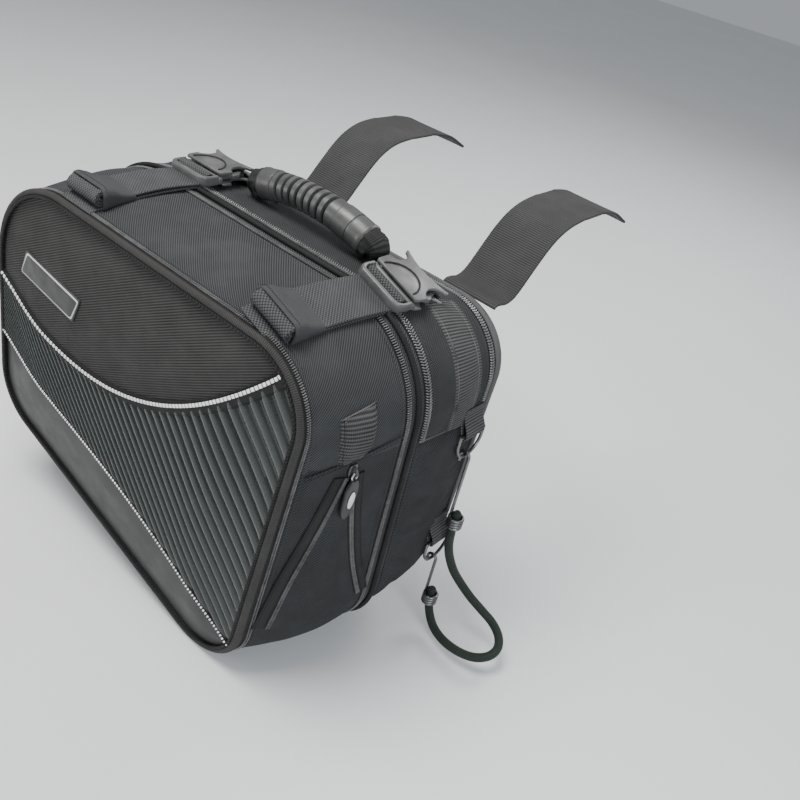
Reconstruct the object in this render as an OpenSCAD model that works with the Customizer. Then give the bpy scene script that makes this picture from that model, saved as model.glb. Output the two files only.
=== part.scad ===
// Soft motorcycle saddlebag that hangs beside the seat from two over-seat straps.
// Frame: origin at the centre of the back panel's rear face, +X towards the front
// of the motorcycle, -Y outwards away from it, +Z up. Millimetres.

/* [Bag] */
// Depth from the back panel to the outer face
bag_depth = 210; // [200:1:220]
// Thickness of the padded side fabric
fabric = 3; // [2:0.5:4]
// Height of the seam where the upper fabric meets the lower boot
seam_z = 55; // [50:1:58]
// Depth of the outer pocket behind the front panel
pocket_depth = 47; // [40:1:55]

/* [Straps and buckles] */
// Width of the compression webbing
strap_w = 46; // [38:1:48]
// Thickness of the webbing
strap_t = 2; // [1.5:0.1:2.5]
// Place of the front compression strap along the bag
front_strap_x = 132; // [128:1:134]
// Place of the rear compression strap along the bag
rear_strap_x = -86; // [-90:1:-80]
// Width of the buckles
buckle_w = 58; // [54:1:60]
// Width of the over-seat straps
seat_strap_w = 55; // [45:1:60]
// Thickness of the over-seat straps
seat_strap_t = 3; // [2:0.5:4]

/* [Handle] */
// Length of the rubber grip
grip_length = 124; // [110:1:126]
// Diameter of the rubber grip
grip_d = 28; // [24:1:30]

/* [Hardware] */
// Wire diameter of the D-rings and hooks
wire_d = 3; // [2.5:0.1:3.2]
// Diameter of the elastic cord
cord_d = 8.5; // [7:0.5:9]

/* [Hidden] */

round_fn = 48;      // round parts that other parts fit
arc_steps = 8;      // segments in each rounded corner of the bag
cord_sides = 10;

// The bag's outline is a rounded quadrilateral that changes with depth. Corners run
// rear top, front top, front bottom, rear bottom, as [x, z] and a corner radius.
back_corners = [[-205, 140], [215, 143], [205, -140], [-212, -75]];
mid_corners = [[-198, 155], [206, 155], [206, -175], [-206, -115]];
face_corners = [[-190, 149], [194, 149], [151, -195], [-200, -100]];
back_radii = [80, 50, 50, 60];
mid_radii = [95, 85, 60, 60];
face_radii = [95, 52, 55, 50];

// Depth of each seam and zip, from the back panel outwards
panel_y = -5;
binding_y = -7;
cover_zip_y = [-8, -12.5];
main_zip_y = [-81, -84.6, -85, -88.6];
boot_end_y = -88.4;
piping_y = -97;
expansion_zip_y = [-103, -105.3, -105.7, -108];
gusset_end_y = -197;
front_zip_y = [-197, -199.6, -200, -204];
board_y = [-202.2, -204.8];
skin_y = [-205, -208.5];
edge_piping_y = -207;
pocket_y = gusset_end_y + pocket_depth;

coil_proud = 1;     // how far a zip coil stands out of the fabric
sewn = 0.3;         // gap between layers that are sewn to each other
clear = 0.3;        // gap between parts that move past each other

// ---------------------------------------------------------------- outline
function unit(v) = v / norm(v);
function left(v) = [-v[1], v[0]];
function blend3(a, b, c, t) =
  a * 2 * (t - 0.5) * (t - 1) - b * 4 * t * (t - 1) + c * 2 * t * (t - 0.5);
function corners(y) = blend3(back_corners, mid_corners, face_corners, -y / bag_depth);
function radii(y) = blend3(back_radii, mid_radii, face_radii, -y / bag_depth);

// One rounded corner, moved inwards by inset
function corner_arc(y, i, inset) =
  let (c = corners(y), r = radii(y)[i],
       to_last = unit(c[(i + 3) % 4] - c[i]), to_next = unit(c[(i + 1) % 4] - c[i]),
       half = acos(to_last * to_next) / 2,
       centre = c[i] + unit(to_last + to_next) * r / sin(half),
       n = left(-to_last), start = atan2(n[1], n[0]), turn = 180 - 2 * half)
  [for (k = [0:arc_steps]) let (a = start - turn * k / arc_steps)
    centre + (r - inset) * [cos(a), sin(a)]];

// The point at height z on the straight edge that starts at corner i
function edge_point(y, i, z, inset) =
  let (c = corners(y), d = c[(i + 1) % 4] - c[i], n = left(unit(d)),
       s = (z + inset * n[1] - c[i][1]) / d[1])
  c[i] + s * d - inset * n;

// Stretches of the outline: the whole ring, the part above or below the seam, and the two
// upper sides, which start below the buckles
side_start = 2;     // segments of the top corner that the side webbing leaves bare
function path(kind, y, inset) =
  kind == "upper" ? concat([edge_point(y, 3, seam_z, inset)], corner_arc(y, 0, inset),
                           corner_arc(y, 1, inset), [edge_point(y, 1, seam_z, inset)]) :
  kind == "lower" ? concat([edge_point(y, 1, seam_z, inset)], corner_arc(y, 2, inset),
                           corner_arc(y, 3, inset), [edge_point(y, 3, seam_z, inset)]) :
  kind == "front_side" ? concat([for (k = [side_start:arc_steps]) corner_arc(y, 1, inset)[k]],
                                [edge_point(y, 1, seam_z, inset)]) :
  kind == "rear_side" ? concat([edge_point(y, 3, seam_z, inset)],
                               [for (k = [0:arc_steps - side_start]) corner_arc(y, 0, inset)[k]]) :
  [for (i = [0:3]) each corner_arc(y, i, inset)];

// Height of the top of the bag over the point [x, y]
function top_z(x, y) =
  let (c = corners(y), r = radii(y),
       past = max(x - (c[1][0] - r[1]), c[0][0] + r[0] - x, 0),
       radius = x > 0 ? r[1] : r[0])
  c[0][1] + (c[1][1] - c[0][1]) * (x - c[0][0]) / (c[1][0] - c[0][0])
  - radius + sqrt(radius * radius - past * past);

// Place of the bag's front side and rear side at depth y and height z
function side_x(y, z, top, bottom) =
  let (c = corners(y), r = radii(y)[top],
       past = max(z - (c[top][1] - r), 0), s = (z - c[top][1]) / (c[bottom][1] - c[top][1]))
  c[top][0] + s * (c[bottom][0] - c[top][0])
  + (top == 1 ? -1 : 1) * (r - sqrt(r * r - past * past));
function front_x(y, z) = side_x(y, z, 1, 2);
function rear_x(y, z) = side_x(y, z, 0, 3);

// ---------------------------------------------------------------- lofting
// A closed solid through loops of points, one after another
module loft(loops, closed) {
  n = len(loops);
  m = len(loops[0]);
  steps = closed ? n : n - 1;
  sides = [for (k = [0:steps - 1]) for (j = [0:m - 1])
    let (a = k * m + j, b = k * m + (j + 1) % m,
         c = ((k + 1) % n) * m + (j + 1) % m, d = ((k + 1) % n) * m + j)
    each [[a, b, c], [a, c, d]]];
  cap = closed ? [] : [for (j = [0:m / 2 - 2]) each [
    [j, m - 1 - j, m - 2 - j], [j, m - 2 - j, j + 1]]];
  far_cap = [for (f = cap) [f[2] + (n - 1) * m, f[1] + (n - 1) * m, f[0] + (n - 1) * m]];
  polyhedron(points = [for (l = loops) each l], faces = concat(sides, cap, far_cap));
}

// Sweeps a cross-section, a list of [y, inset], along a stretch of the outline
module sweep(kind, section) {
  rows = [for (s = section) [for (p = path(kind, s[0], s[1])) [p[0], s[0], p[1]]]];
  loft([for (k = [0:len(rows[0]) - 1]) [for (row = rows) row[k]]],
       kind == "ring");
}

// A band of fabric between depths, from an outer to an inner inset
module band(kind, depths, outer, inner) {
  last = len(depths) - 1;
  sweep(kind, concat([for (y = depths) [y, outer]],
                     [for (k = [last:-1:0]) [depths[k], inner]]));
}

// A round cord that follows the outline
module cord_ring(kind, y, r, proud) {
  sweep(kind, [for (k = [0:5]) [y + r * cos(60 * k), -proud - r * sin(60 * k)]]);
}

// A flat plate of the outline's shape between two depths
module plate(y_back, y_front, inset) {
  translate([0, y_back, 0]) rotate([90, 0, 0]) linear_extrude(y_back - y_front)
    polygon(path("ring", y_back, inset));
}

// A strip on the front side along a route of [y, z], width w, between two heights
module side_strip(route, w, low, high) {
  loft([for (p = route) [
    [front_x(p[0] - w / 2, p[1]) + low, p[0] - w / 2, p[1]],
    [front_x(p[0] + w / 2, p[1]) + low, p[0] + w / 2, p[1]],
    [front_x(p[0] + w / 2, p[1]) + high, p[0] + w / 2, p[1]],
    [front_x(p[0] - w / 2, p[1]) + high, p[0] - w / 2, p[1]]]], false);
}

// ---------------------------------------------------------------- back and boot
binding_proud = 3.2;
panel_inset = 1;
module back_panel() {
  color("#1c1d1f") plate(0, panel_y, panel_inset);
}

module back_binding() {
  color("#3c3e40") band("ring", [-0.4, -2.5, -5, binding_y], -binding_proud, -sewn);
}

module rear_gusset() {
  color("#26282a") band("upper", [panel_y - 0.1, -30, -55, main_zip_y[0]], 0, fabric);
}

module lower_boot() {
  color("#1b1d1e") band("lower", [panel_y - 0.1, -30, -60, boot_end_y], 0, fabric);
}

module main_zip_inner() {
  color("#4a4c4e") band("upper", [main_zip_y[0] - 0.05, main_zip_y[1]], -coil_proud, fabric);
}

module cover_zip() {
  color("#4a4c4e") band("upper", cover_zip_y, -coil_proud - sewn, -sewn);
}

// Flat webbing sewn down both upper sides below the buckles
side_webbing_y = [-24, -30, -55, -56];
module side_webbing() {
  color("#4b4d4f") for (side = ["front_side", "rear_side"])
    band(side, side_webbing_y, -strap_t - sewn, -sewn);
}

// ---------------------------------------------------------------- straps and buckles
strap_gap = 4.9;                 // strap above the bag, so it clears piping and coils
anchor_gap = 2.6;                // anchor webbing above the bag
anchor_y = -13.5;                // outer end of the anchor webbing, at the cover zip
buckle_gap = 4.6;                // buckle above the bag
plug_y = [-96, -74];             // webbing frame of the plug
socket_y = [-73, -41];
socket_t = 13;
plug_t = 9;
arm_w = 5;
arm_t = 4;
arm_x = 21;
arm_end_y = -49;
arm_gap = 0.4;
pocket_t = 9;

// Tilt that lays a buckle along the bag's rounded top
function buckle_tilt(x) = atan2(top_z(x - 20, -70) - top_z(x + 20, -70), 40);
module at_buckle(x) {
  translate([x, 0, top_z(x, -70) + buckle_gap]) rotate([0, buckle_tilt(x), 0]) children();
}

module rounded_plate(w, y0, y1, t, r) {
  linear_extrude(t) offset_corners(w, y0, y1, r);
}

// A rectangle with round corners, as exact arcs
module offset_corners(w, y0, y1, r) {
  translate([-w / 2, y0 + r]) square([w, y1 - y0 - 2 * r]);
  translate([-w / 2 + r, y0]) square([w - 2 * r, y1 - y0]);
  for (x = [-1, 1], y = [y0 + r, y1 - r])
    translate([x * (w / 2 - r), y]) circle(r, $fn = round_fn);
}

// Socket half: top and bottom plates round a centre block, open at the mouth and sides
module buckle_socket(x) {
  guide_w = 26;
  back_wall = 6;
  slot = 4;
  color("#6a6c6e") at_buckle(x) difference() {
    rounded_plate(buckle_w, socket_y[0], socket_y[1], socket_t, 5);
    for (side = [-1, 1])
      translate([side > 0 ? guide_w / 2 : -buckle_w / 2 - 1, socket_y[0] - 1,
                 (socket_t - pocket_t) / 2])
        cube([buckle_w / 2 - guide_w / 2 + 1, socket_y[1] - socket_y[0] - back_wall + 1,
              pocket_t]);
    for (side = [-1, 1]) translate([side * (buckle_w / 2 + 3), -53, -1])
      cylinder(r = 11, h = socket_t + 2, $fn = round_fn);
    translate([-strap_w / 2 + 2, socket_y[1] - 5.2, -1]) cube([strap_w - 4, slot - 1.4, socket_t + 2]);
  }
}

// Plug half: a frame with a bar for the webbing
module buckle_plug(x) {
  bar_y = -85;
  bar_r = 2.2;
  rim = 4;
  color("#616365") at_buckle(x) translate([0, 0, (socket_t - plug_t) / 2]) {
    difference() {
      rounded_plate(buckle_w, plug_y[0], plug_y[1], plug_t, 5);
      translate([-strap_w / 2 - 1, plug_y[0] + rim, -1])
        cube([strap_w + 2, plug_y[1] - plug_y[0] - rim - 4.5, plug_t + 2]);
    }
    translate([-strap_w / 2 - 1.2, bar_y, plug_t / 2]) rotate([0, 90, 0])
      cylinder(r = bar_r, h = strap_w + 2.4, $fn = round_fn);
  }
}

// Squeeze arm: a springy finger with a rounded thumb pad
module buckle_arm(x, side) {
  color("#616365") at_buckle(x) translate([side * arm_x, 0, (socket_t - arm_t) / 2]) {
    translate([-arm_w / 2, plug_y[1] + arm_gap, 0])
      cube([arm_w, arm_end_y - plug_y[1] - arm_gap, arm_t]);
    translate([side * 2, -58, 0]) cylinder(r = 4.5, h = arm_t, $fn = round_fn);
  }
}

// A strip of webbing over the top of the bag between two depths
module top_strap(x, y0, y1, gap) {
  steps = 6;
  ys = [for (k = [0:steps]) y0 + (y1 - y0) * k / steps];
  turned_at_strap(x) translate([-strap_w / 2, 0, 0]) rotate([90, 0, 90])
    linear_extrude(strap_w)
      polygon(concat([for (y = ys) [y, top_z(x, y) + gap]],
                     [for (k = [steps:-1:0]) [ys[k], top_z(x, ys[k]) + gap + strap_t]]));
}

// Turns a strap's parts about its own centre line to the tilt of its buckle
module turned_at_strap(x) {
  h = top_z(x, -70);
  translate([x, 0, h]) rotate([0, buckle_tilt(x), 0]) translate([0, 0, -h]) children();
}

// Straps with the rolled-up tail at their outer end
roll_r = 6;
module compression_straps() {
  roll_y = gusset_end_y + 4;
  color("#45474a") for (x = [rear_strap_x, front_strap_x]) {
    top_strap(x, plug_y[0] - 0.5, gusset_end_y + 8, strap_gap);
    turned_at_strap(x)
      translate([-strap_w / 2 + 1, roll_y, top_z(x, roll_y) + strap_gap + roll_r])
        rotate([0, 90, 0]) cylinder(r = roll_r, h = strap_w - 2, $fn = round_fn);
  }
}

module anchor_webbing() {
  color("#45474a") for (x = [rear_strap_x, front_strap_x])
    top_strap(x, anchor_y, socket_y[1] - 0.8, anchor_gap);
}

// Elastic loop round each strap, which holds the rolled tail
module strap_keepers() {
  keeper_y = -172;
  keeper_l = 22;
  skin = 1.2;
  room = 1.3;                    // between the loop and the webbing inside it
  slope = atan2(top_z(0, keeper_y - keeper_l / 2) - top_z(0, keeper_y + keeper_l / 2), keeper_l);
  inside = [strap_w + 1.6, strap_t + 2 * room];
  color("#202224") for (x = [rear_strap_x, front_strap_x])
    turned_at_strap(x) translate([0, keeper_y, top_z(x, keeper_y) + strap_gap + strap_t / 2])
      rotate([90 - slope, 0, 0]) translate([0, 0, -keeper_l / 2]) linear_extrude(keeper_l)
        difference() {
          square(inside + 2 * [skin, skin], center = true);
          square(inside, center = true);
        }
}

// ---------------------------------------------------------------- over-seat straps
// Centre line as [y, z]: sewn to the back of the top binding, then up and over the seat
front_seat_strap_x = 165;
rear_seat_strap_x = -35;
seat_route = [[1.2, 143.2], [2.2, 144.9], [5.5, 146], [11, 145.5], [20, 144.5], [31, 149],
              [46, 165.5], [61, 182], [75, 193], [92, 200], [112, 203], [122, 203],
              [142, 203], [150, 203], [178, 198], [206, 185]];
function route_side(r, s) = [for (k = [0:len(r) - 1])
  let (d = unit(r[min(k + 1, len(r) - 1)] - r[max(k - 1, 0)])) r[k] + s * left(d)];
module seat_strap(x) {
  color("#3a3c3e") translate([x - seat_strap_w / 2, 0, 0]) rotate([90, 0, 90])
    linear_extrude(seat_strap_w)
      polygon(concat(route_side(seat_route, seat_strap_t / 2),
                     [for (k = [len(seat_route) - 1:-1:0])
                        route_side(seat_route, -seat_strap_t / 2)[k]]));
}

// ---------------------------------------------------------------- handle
handle_x = 29;
handle_y = -50;
pivot_z = 156;
grip_rise = 8;
grip_mid_z = 177;
neck_x = 68;                     // from the handle's middle to each neck
arch_r = (pow(grip_length / 2, 2) + pow(grip_rise, 2)) / (2 * grip_rise);
arch_a = asin(grip_length / 2 / arch_r);
neck_a = asin(neck_x / arch_r);
core_r = 4;

// Sweeps a round profile along the handle's arch between two angles from its middle
module arch(a0, a1, r) {
  translate([handle_x, handle_y, grip_mid_z - arch_r]) rotate([90, 0, 0])
    rotate([0, 0, 90 - a1]) rotate_extrude(angle = a1 - a0, $fn = 180)
      translate([arch_r, 0]) circle(r, $fn = round_fn);
}

// Webbing core with a neck and a pivot loop at each end
pivot_r = 2.6;
module handle_strap() {
  core_end_z = grip_mid_z - arch_r + arch_r * cos(neck_a);
  color("#232527") {
    arch(-neck_a, neck_a, core_r);
    for (s = [-1, 1]) translate([handle_x + s * neck_x, handle_y, 0]) {
      translate([0, 0, pivot_z]) cylinder(r = core_r, h = core_end_z - pivot_z, $fn = round_fn);
      translate([0, 0, core_end_z]) sphere(r = core_r, $fn = round_fn);
      translate([-core_r, 0, pivot_z]) rotate([0, 90, 0])
        cylinder(r = pivot_r, h = 2 * core_r, $fn = round_fn);
    }
  }
}

collar_a = 4;                    // arc angle of each smooth collar
module handle_grip() {
  color("#2b2d2f") difference() {
    arch(-arch_a + collar_a, arch_a - collar_a, grip_d / 2);
    arch(-arch_a, arch_a, core_r + 0.2);
  }
}

module handle_collars() {
  color("#303234") for (s = [-1, 1]) difference() {
    arch(s > 0 ? arch_a - collar_a + 0.05 : -arch_a, s > 0 ? arch_a : -arch_a + collar_a - 0.05,
         grip_d / 2 - 0.5);
    arch(-arch_a - 1, arch_a + 1, core_r + 0.2);
  }
}

// Sewn patches under the two pivot loops
module handle_anchors() {
  patch = [10, 14, 1.4];
  highest = top_z(handle_x + neck_x, handle_y - patch[1] / 2);
  color("#232527") for (s = [-1, 1])
    translate([handle_x + s * neck_x - patch[0] / 2, handle_y - patch[1] / 2, highest + 0.2])
      cube(patch);
}

// ---------------------------------------------------------------- D-rings and hooks
ring_x = 219.5;
ring_y = -23;
upper_ring_z = 45;
lower_ring_z = -78;
ring_w = 34;
ring_leg = 8;
tab_w = 16;
tab_gap = 0.9;
loop_r = 3.4;
wire_r = wire_d / 2;

module ring_tabs() {
  color("#2a2c2a") for (z = [upper_ring_z, lower_ring_z]) difference() {
    union() {
      translate([ring_x, ring_y - tab_w / 2, z]) rotate([-90, 0, 0])
        cylinder(r = loop_r, h = tab_w, $fn = round_fn);
      translate([ring_x - loop_r, ring_y - tab_w / 2, z]) cube([2 * loop_r, tab_w, 9]);
      translate([front_x(ring_y, z + 12) + tab_gap, ring_y - tab_w / 2, z + 4])
        cube([ring_x + loop_r - front_x(ring_y, z + 12) - tab_gap, tab_w, 5]);
    }
    translate([ring_x, ring_y - tab_w / 2 - 1, z]) rotate([-90, 0, 0])
      cylinder(r = wire_r + 0.1, h = tab_w + 2, $fn = round_fn);
  }
}

// A bar in the webbing loop, two legs and a half-round bow
module d_ring(z) {
  bow_r = ring_w / 2;
  color("#34373a") translate([ring_x, ring_y, z]) {
    translate([0, -bow_r, 0]) rotate([-90, 0, 0]) cylinder(r = wire_r, h = ring_w, $fn = round_fn);
    for (s = [-1, 1]) translate([0, s * bow_r, -ring_leg]) {
      cylinder(r = wire_r, h = ring_leg, $fn = round_fn);
      translate([0, 0, ring_leg]) sphere(r = wire_r, $fn = round_fn);
    }
    translate([0, 0, -ring_leg]) rotate([0, 90, 0]) rotate([0, 0, -90])
      rotate_extrude(angle = 180, $fn = 96) translate([bow_r, 0]) circle(wire_r, $fn = round_fn);
  }
}

ring_drop = ring_leg + ring_w / 2;
hook_r = 4.5;
hook_wire_r = 1.5;
coil_r = 6.2;
coil_turns = 4;
coil_pitch = 3;
hook_lengths = [64, 40];

// Wire hook over the bow of a D-ring, ending in rings wound round the cord
module bungee_hook(ring_z, length) {
  seat_z = ring_z - ring_drop + wire_r + hook_wire_r + clear - hook_r;
  coil_x = hook_r + coil_r;
  translate([ring_x, ring_y, seat_z]) {
    rotate([90, 0, 0]) rotate_extrude(angle = 180, $fn = 96)
      translate([hook_r, 0]) circle(hook_wire_r, $fn = round_fn);
    translate([-hook_r, 0, -7]) cylinder(r = hook_wire_r, h = 7, $fn = round_fn);
    translate([hook_r, 0, -length]) cylinder(r = hook_wire_r, h = length, $fn = round_fn);
    for (k = [0:coil_turns - 1]) translate([coil_x, 0, -length - k * coil_pitch * 0.98])
      rotate_extrude($fn = 96) translate([coil_r, 0]) circle(hook_wire_r, $fn = round_fn);
  }
}

module bungee_hooks() {
  color("#2e3032") {
    bungee_hook(upper_ring_z, hook_lengths[0]);
    bungee_hook(lower_ring_z, hook_lengths[1]);
  }
}

// Elastic cord: out of the upper hook, round one frame tube and back to the lower hook
cord_route = [[230, -23, -38], [230, -23, -50], [230, -23, -64], [231, -21, -80],
              [234, -17, -96], [240, -12, -112], [249, -6, -126], [261, -1, -138],
              [275, 3, -147], [289, 4, -153], [301, -1, -157], [308, -11, -160],
              [307, -22, -163], [299, -31, -166], [287, -35, -169], [273, -36, -171],
              [259, -34, -172], [246, -30, -170], [236, -25, -164], [231, -23, -154],
              [230, -23, -144], [230, -23, -136]];
function ring_at(r, k) =
  let (d = unit(r[min(k + 1, len(r) - 1)] - r[max(k - 1, 0)]),
       u = unit(cross(d, [0.3, 1, 0.2])), v = cross(d, u))
  [for (j = [0:cord_sides - 1]) let (a = 360 * j / cord_sides)
    r[k] + cord_d / 2 * (cos(a) * u + sin(a) * v)];
module bungee_cord() {
  color("#20221f") loft([for (k = [0:len(cord_route) - 1]) ring_at(cord_route, k)], false);
}

// ---------------------------------------------------------------- zip sliders
// Local frame at a slider: z out of the fabric, x along the coil upwards
slider_l = 13;
slider_w = 9;
slider_low = 1.5;
slider_high = 4.6;
pull_hinge = 6.4;
pull_l = 30;
pull_pin_r = 0.9;

module on_rear(y, z) {
  translate([rear_x(y, z), y, z]) rotate([0, -90, 0]) children();
}
module on_front(y, z) {
  translate([front_x(y, z), y, z]) rotate([0, 90, 0]) rotate([0, 0, 180]) children();
}

// Slider body with two ears that hold the pull's pin
module slider() {
  ear_t = 1.2;
  difference() {
    union() {
      translate([-slider_l / 2, -slider_w / 2, slider_low])
        cube([slider_l, slider_w, slider_high - slider_low]);
      for (s = [-1, 1]) translate([0, s * 2.6 - ear_t / 2, slider_high - 0.5]) {
        translate([-2.2, 0, 0]) cube([4.4, ear_t, pull_hinge - slider_high + 0.5]);
        translate([0, 0, pull_hinge - slider_high + 0.5]) rotate([-90, 0, 0])
          cylinder(r = 2.2, h = ear_t, $fn = round_fn);
      }
    }
    translate([0, -slider_w, pull_hinge]) rotate([-90, 0, 0])
      cylinder(r = pull_pin_r + 0.08, h = 2 * slider_w, $fn = round_fn);
  }
}

// Pull that hangs from the slider: pin, neck and a flat tab
module pull(length, w) {
  tab_t = 2;
  translate([0, -3.6, pull_hinge]) rotate([-90, 0, 0])
    cylinder(r = pull_pin_r, h = 7.2, $fn = round_fn);
  translate([-length, -1.4, pull_hinge - 0.7]) cube([length, 2.8, 1.4]);
  translate([-length, -w / 2, pull_hinge - 0.7])
    cube([length - 6, w, tab_t]);
}

main_slider = [-84.8, 62];
expansion_slider_at = [-105.5, 35];
front_slider_at = [-198.6, 95];

module main_zip_slider() {
  color("#3a3c3e") on_rear(main_slider[0], main_slider[1]) slider();
}
module main_zip_pull() {
  color("#303234") on_rear(main_slider[0], main_slider[1]) pull(pull_l, 8);
}
module expansion_slider() {
  color("#3a3c3e") on_rear(expansion_slider_at[0], expansion_slider_at[1]) slider();
}
module expansion_pull() {
  color("#303234") on_rear(expansion_slider_at[0], expansion_slider_at[1]) pull(pull_l, 8);
}
module at_front_slider() {
  a = 25;                        // the outline has begun to curve here
  lift = 1.4;
  translate([rear_x(front_slider_at[0], front_slider_at[1]), front_slider_at[0],
             front_slider_at[1]]) rotate([0, -90 + a, 0]) translate([0, 0, lift]) children();
}
module front_zip_slider() {
  color("#3a3c3e") at_front_slider() slider();
}
module front_zip_pull() {
  color("#303234") at_front_slider() pull(pull_l - 6, 8);
}

// ---------------------------------------------------------------- middle band
module mid_band() {
  color("#1e2022") {
    band("upper", [main_zip_y[3], expansion_zip_y[0]], 0, fabric);
    band("lower", [main_zip_y[3] - 0.2, expansion_zip_y[0]], 0, fabric);
  }
}

module mid_piping() {
  color("#2c2e30") cord_ring("ring", piping_y, 2.2, 2.3);
}

module main_zip_outer() {
  color("#4a4c4e") band("upper", [main_zip_y[2], main_zip_y[3]], -coil_proud, fabric);
}

module expansion_zip_inner() {
  color("#424446") band("ring", [expansion_zip_y[0], expansion_zip_y[1]], -coil_proud, fabric);
}

// ---------------------------------------------------------------- outer shell
module expansion_bellows() {
  color("#161718") band("ring", [-98, -116], fabric + 0.8, fabric + 2.2);
}

module expansion_zip_outer() {
  color("#424446") band("ring", [expansion_zip_y[2], expansion_zip_y[3]], -coil_proud, fabric);
}

module outer_gusset() {
  color("#232527") band("ring", [expansion_zip_y[3], -130, pocket_y, -173, gusset_end_y], 0, fabric);
}

module pocket_wall() {
  room = 1.3;
  color("#141516") plate(pocket_y, pocket_y - 2, fabric + room);
}

module front_zip_inner() {
  color("#3c3e40") band("ring", [front_zip_y[0], front_zip_y[1]], -coil_proud, fabric);
}

// Folded webbing loop on the front side
module side_tab() {
  tab_size = [34, 2.6];
  color("#2f3133") side_strip([for (z = [104:-8:64]) [-156, z]], tab_size[0], sewn, tab_size[1]);
}

// Two fine zips that spread downwards from the slider below the tab
left_zip = [[-157.5, 46], [-168, 0], [-181, -60], [-189, -120]];
right_zip = [[-151, 46], [-143, 0], [-130, -55], [-115, -100]];
side_coil = [4, 1.2];
module side_zips() {
  color("#4a4c4e") {
    side_strip(left_zip, side_coil[0], sewn, side_coil[1]);
    side_strip(right_zip, side_coil[0], sewn, side_coil[1]);
  }
}

// Gathered fabric between the two fine zips
module side_bellows() {
  heights = [34, 0, -50, -96];
  columns = 6;
  edge_room = 2.6;
  cloth_t = 1;
  y_at = function (z, k)
    let (l = lookup(z, [for (p = left_zip) [p[1], p[0]]]) + edge_room,
         r = lookup(z, [for (p = right_zip) [p[1], p[0]]]) - edge_room)
    l + (r - l) * k / columns;
  color("#191b1c") loft([for (z = heights) concat(
    [for (k = [0:columns]) [front_x(y_at(z, k), z) + 1.5 * sewn, y_at(z, k), z]],
    [for (k = [columns:-1:0]) [front_x(y_at(z, k), z) + 1.5 * sewn + cloth_t, y_at(z, k), z]])],
    false);
}

// The side slider stands a little proud of its coils
side_slider_at = [-154, 52];
module side_slider() {
  color("#2b2d2f") on_front(side_slider_at[0], side_slider_at[1]) slider();
}

puller_l = 46;
puller_w = 13;
puller_t = 4;
puller_low = 1.5;                // underside of the grip, below its hinge
module side_puller() {
  grip_l = 30;
  color("#1d1f20") on_front(side_slider_at[0], side_slider_at[1]) {
    pull(puller_l - grip_l + 6, 5);
    translate([0, 0, pull_hinge - puller_low]) linear_extrude(puller_t) {
      translate([-puller_l + puller_w / 2, 0]) circle(puller_w / 2, $fn = round_fn);
      translate([-puller_l + puller_w / 2, -puller_w / 2]) square([grip_l - puller_w / 2, puller_w]);
    }
  }
}

// Plain pale oval set on the rubber puller
module puller_inset() {
  oval = [15, 6.5];
  color("#c9cccf") on_front(side_slider_at[0], side_slider_at[1])
    translate([-puller_l + puller_w / 2 + 7, 0, pull_hinge - puller_low + puller_t + 0.05])
    linear_extrude(0.8) {
      square([oval[0] - oval[1], oval[1]], center = true);
      for (s = [-1, 1]) translate([s * (oval[0] - oval[1]) / 2, 0])
        circle(oval[1] / 2, $fn = round_fn);
    }
}

// ---------------------------------------------------------------- front panel
// Curves that divide the front panel, as control points of a cubic
upper_line = [[-195, 44], [-70, -10], [50, 2], [178, 150]];
lower_line = [[-202, -16], [-100, -62], [10, -52], [160, -154]];
line_steps = 20;
function cubic(p, t) = pow(1 - t, 3) * p[0] + 3 * t * pow(1 - t, 2) * p[1]
  + 3 * t * t * (1 - t) * p[2] + pow(t, 3) * p[3];
function line_points(p) = [for (k = [0:line_steps]) cubic(p, k / line_steps)];

// The part of the front face above a dividing line
far_out = 320;
module above(line) {
  polygon(concat([[-far_out, line[0][1]]], line_points(line),
                 [[far_out, line[3][1]], [far_out, far_out], [-far_out, far_out]]));
}

piping_w = 6;
module line_strip(line) {
  points = line_points(line);
  polygon(concat(route_side(points, piping_w / 2),
                 [for (k = [line_steps:-1:0]) route_side(points, -piping_w / 2)[k]]));
}

face_inset = 3.4;
module face() {
  polygon(path("ring", skin_y[1], face_inset));
}

module skin(thickness) {
  translate([0, skin_y[0], 0]) rotate([90, 0, 0]) linear_extrude(thickness) children();
}

skin_t = skin_y[0] - skin_y[1];
module front_board() {
  color("#101112") plate(board_y[0], board_y[1], face_inset);
}

module front_upper() {
  color("#211f1f") skin(skin_t) difference() {
    intersection() { face(); above(upper_line); }
    line_strip(upper_line);
  }
}

module front_ribbed() {
  color("#2a2e2b") skin(skin_t - 0.5) difference() {
    intersection() { face(); above(lower_line); }
    above(upper_line);
    line_strip(upper_line);
    line_strip(lower_line);
  }
}

module front_lower() {
  color("#1a1c1c") skin(skin_t - 0.2) difference() {
    face();
    above(lower_line);
    line_strip(lower_line);
  }
}

module reflective_lines() {
  color("#d9dcdf") skin(skin_t + 0.6) intersection() {
    face();
    union() {
      line_strip(upper_line);
      line_strip(lower_line);
    }
  }
}

module front_piping() {
  color("#26282a") cord_ring("ring", edge_piping_y, 2.8, 0.3);
}

// The front panel's half of its zip, left out along the hinge on the rear edge
hinge_gap_z = [-58, 66];
module front_zip_outer() {
  color("#3c3e40") difference() {
    band("ring", [front_zip_y[2], front_zip_y[3]], -coil_proud, 1.8);
    translate([-far_out, front_zip_y[3] - 1, hinge_gap_z[0]])
      cube([far_out - 120, 8, hinge_gap_z[1] - hinge_gap_z[0]]);
  }
}

// Blank badge with a slanted end
module badge() {
  centre = [-105, 72];
  size = [92, 26];
  slant = 8;
  badge_t = 1.4;
  color("#b9bcc0") translate([0, -skin_t - 0.05, 0]) skin(badge_t) translate(centre)
    rotate([0, 0, -5])
      polygon([[-size[0] / 2, -size[1] / 2], [size[0] / 2 - slant, -size[1] / 2],
               [size[0] / 2, size[1] / 2], [-size[0] / 2 + slant, size[1] / 2]]);
}

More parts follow.
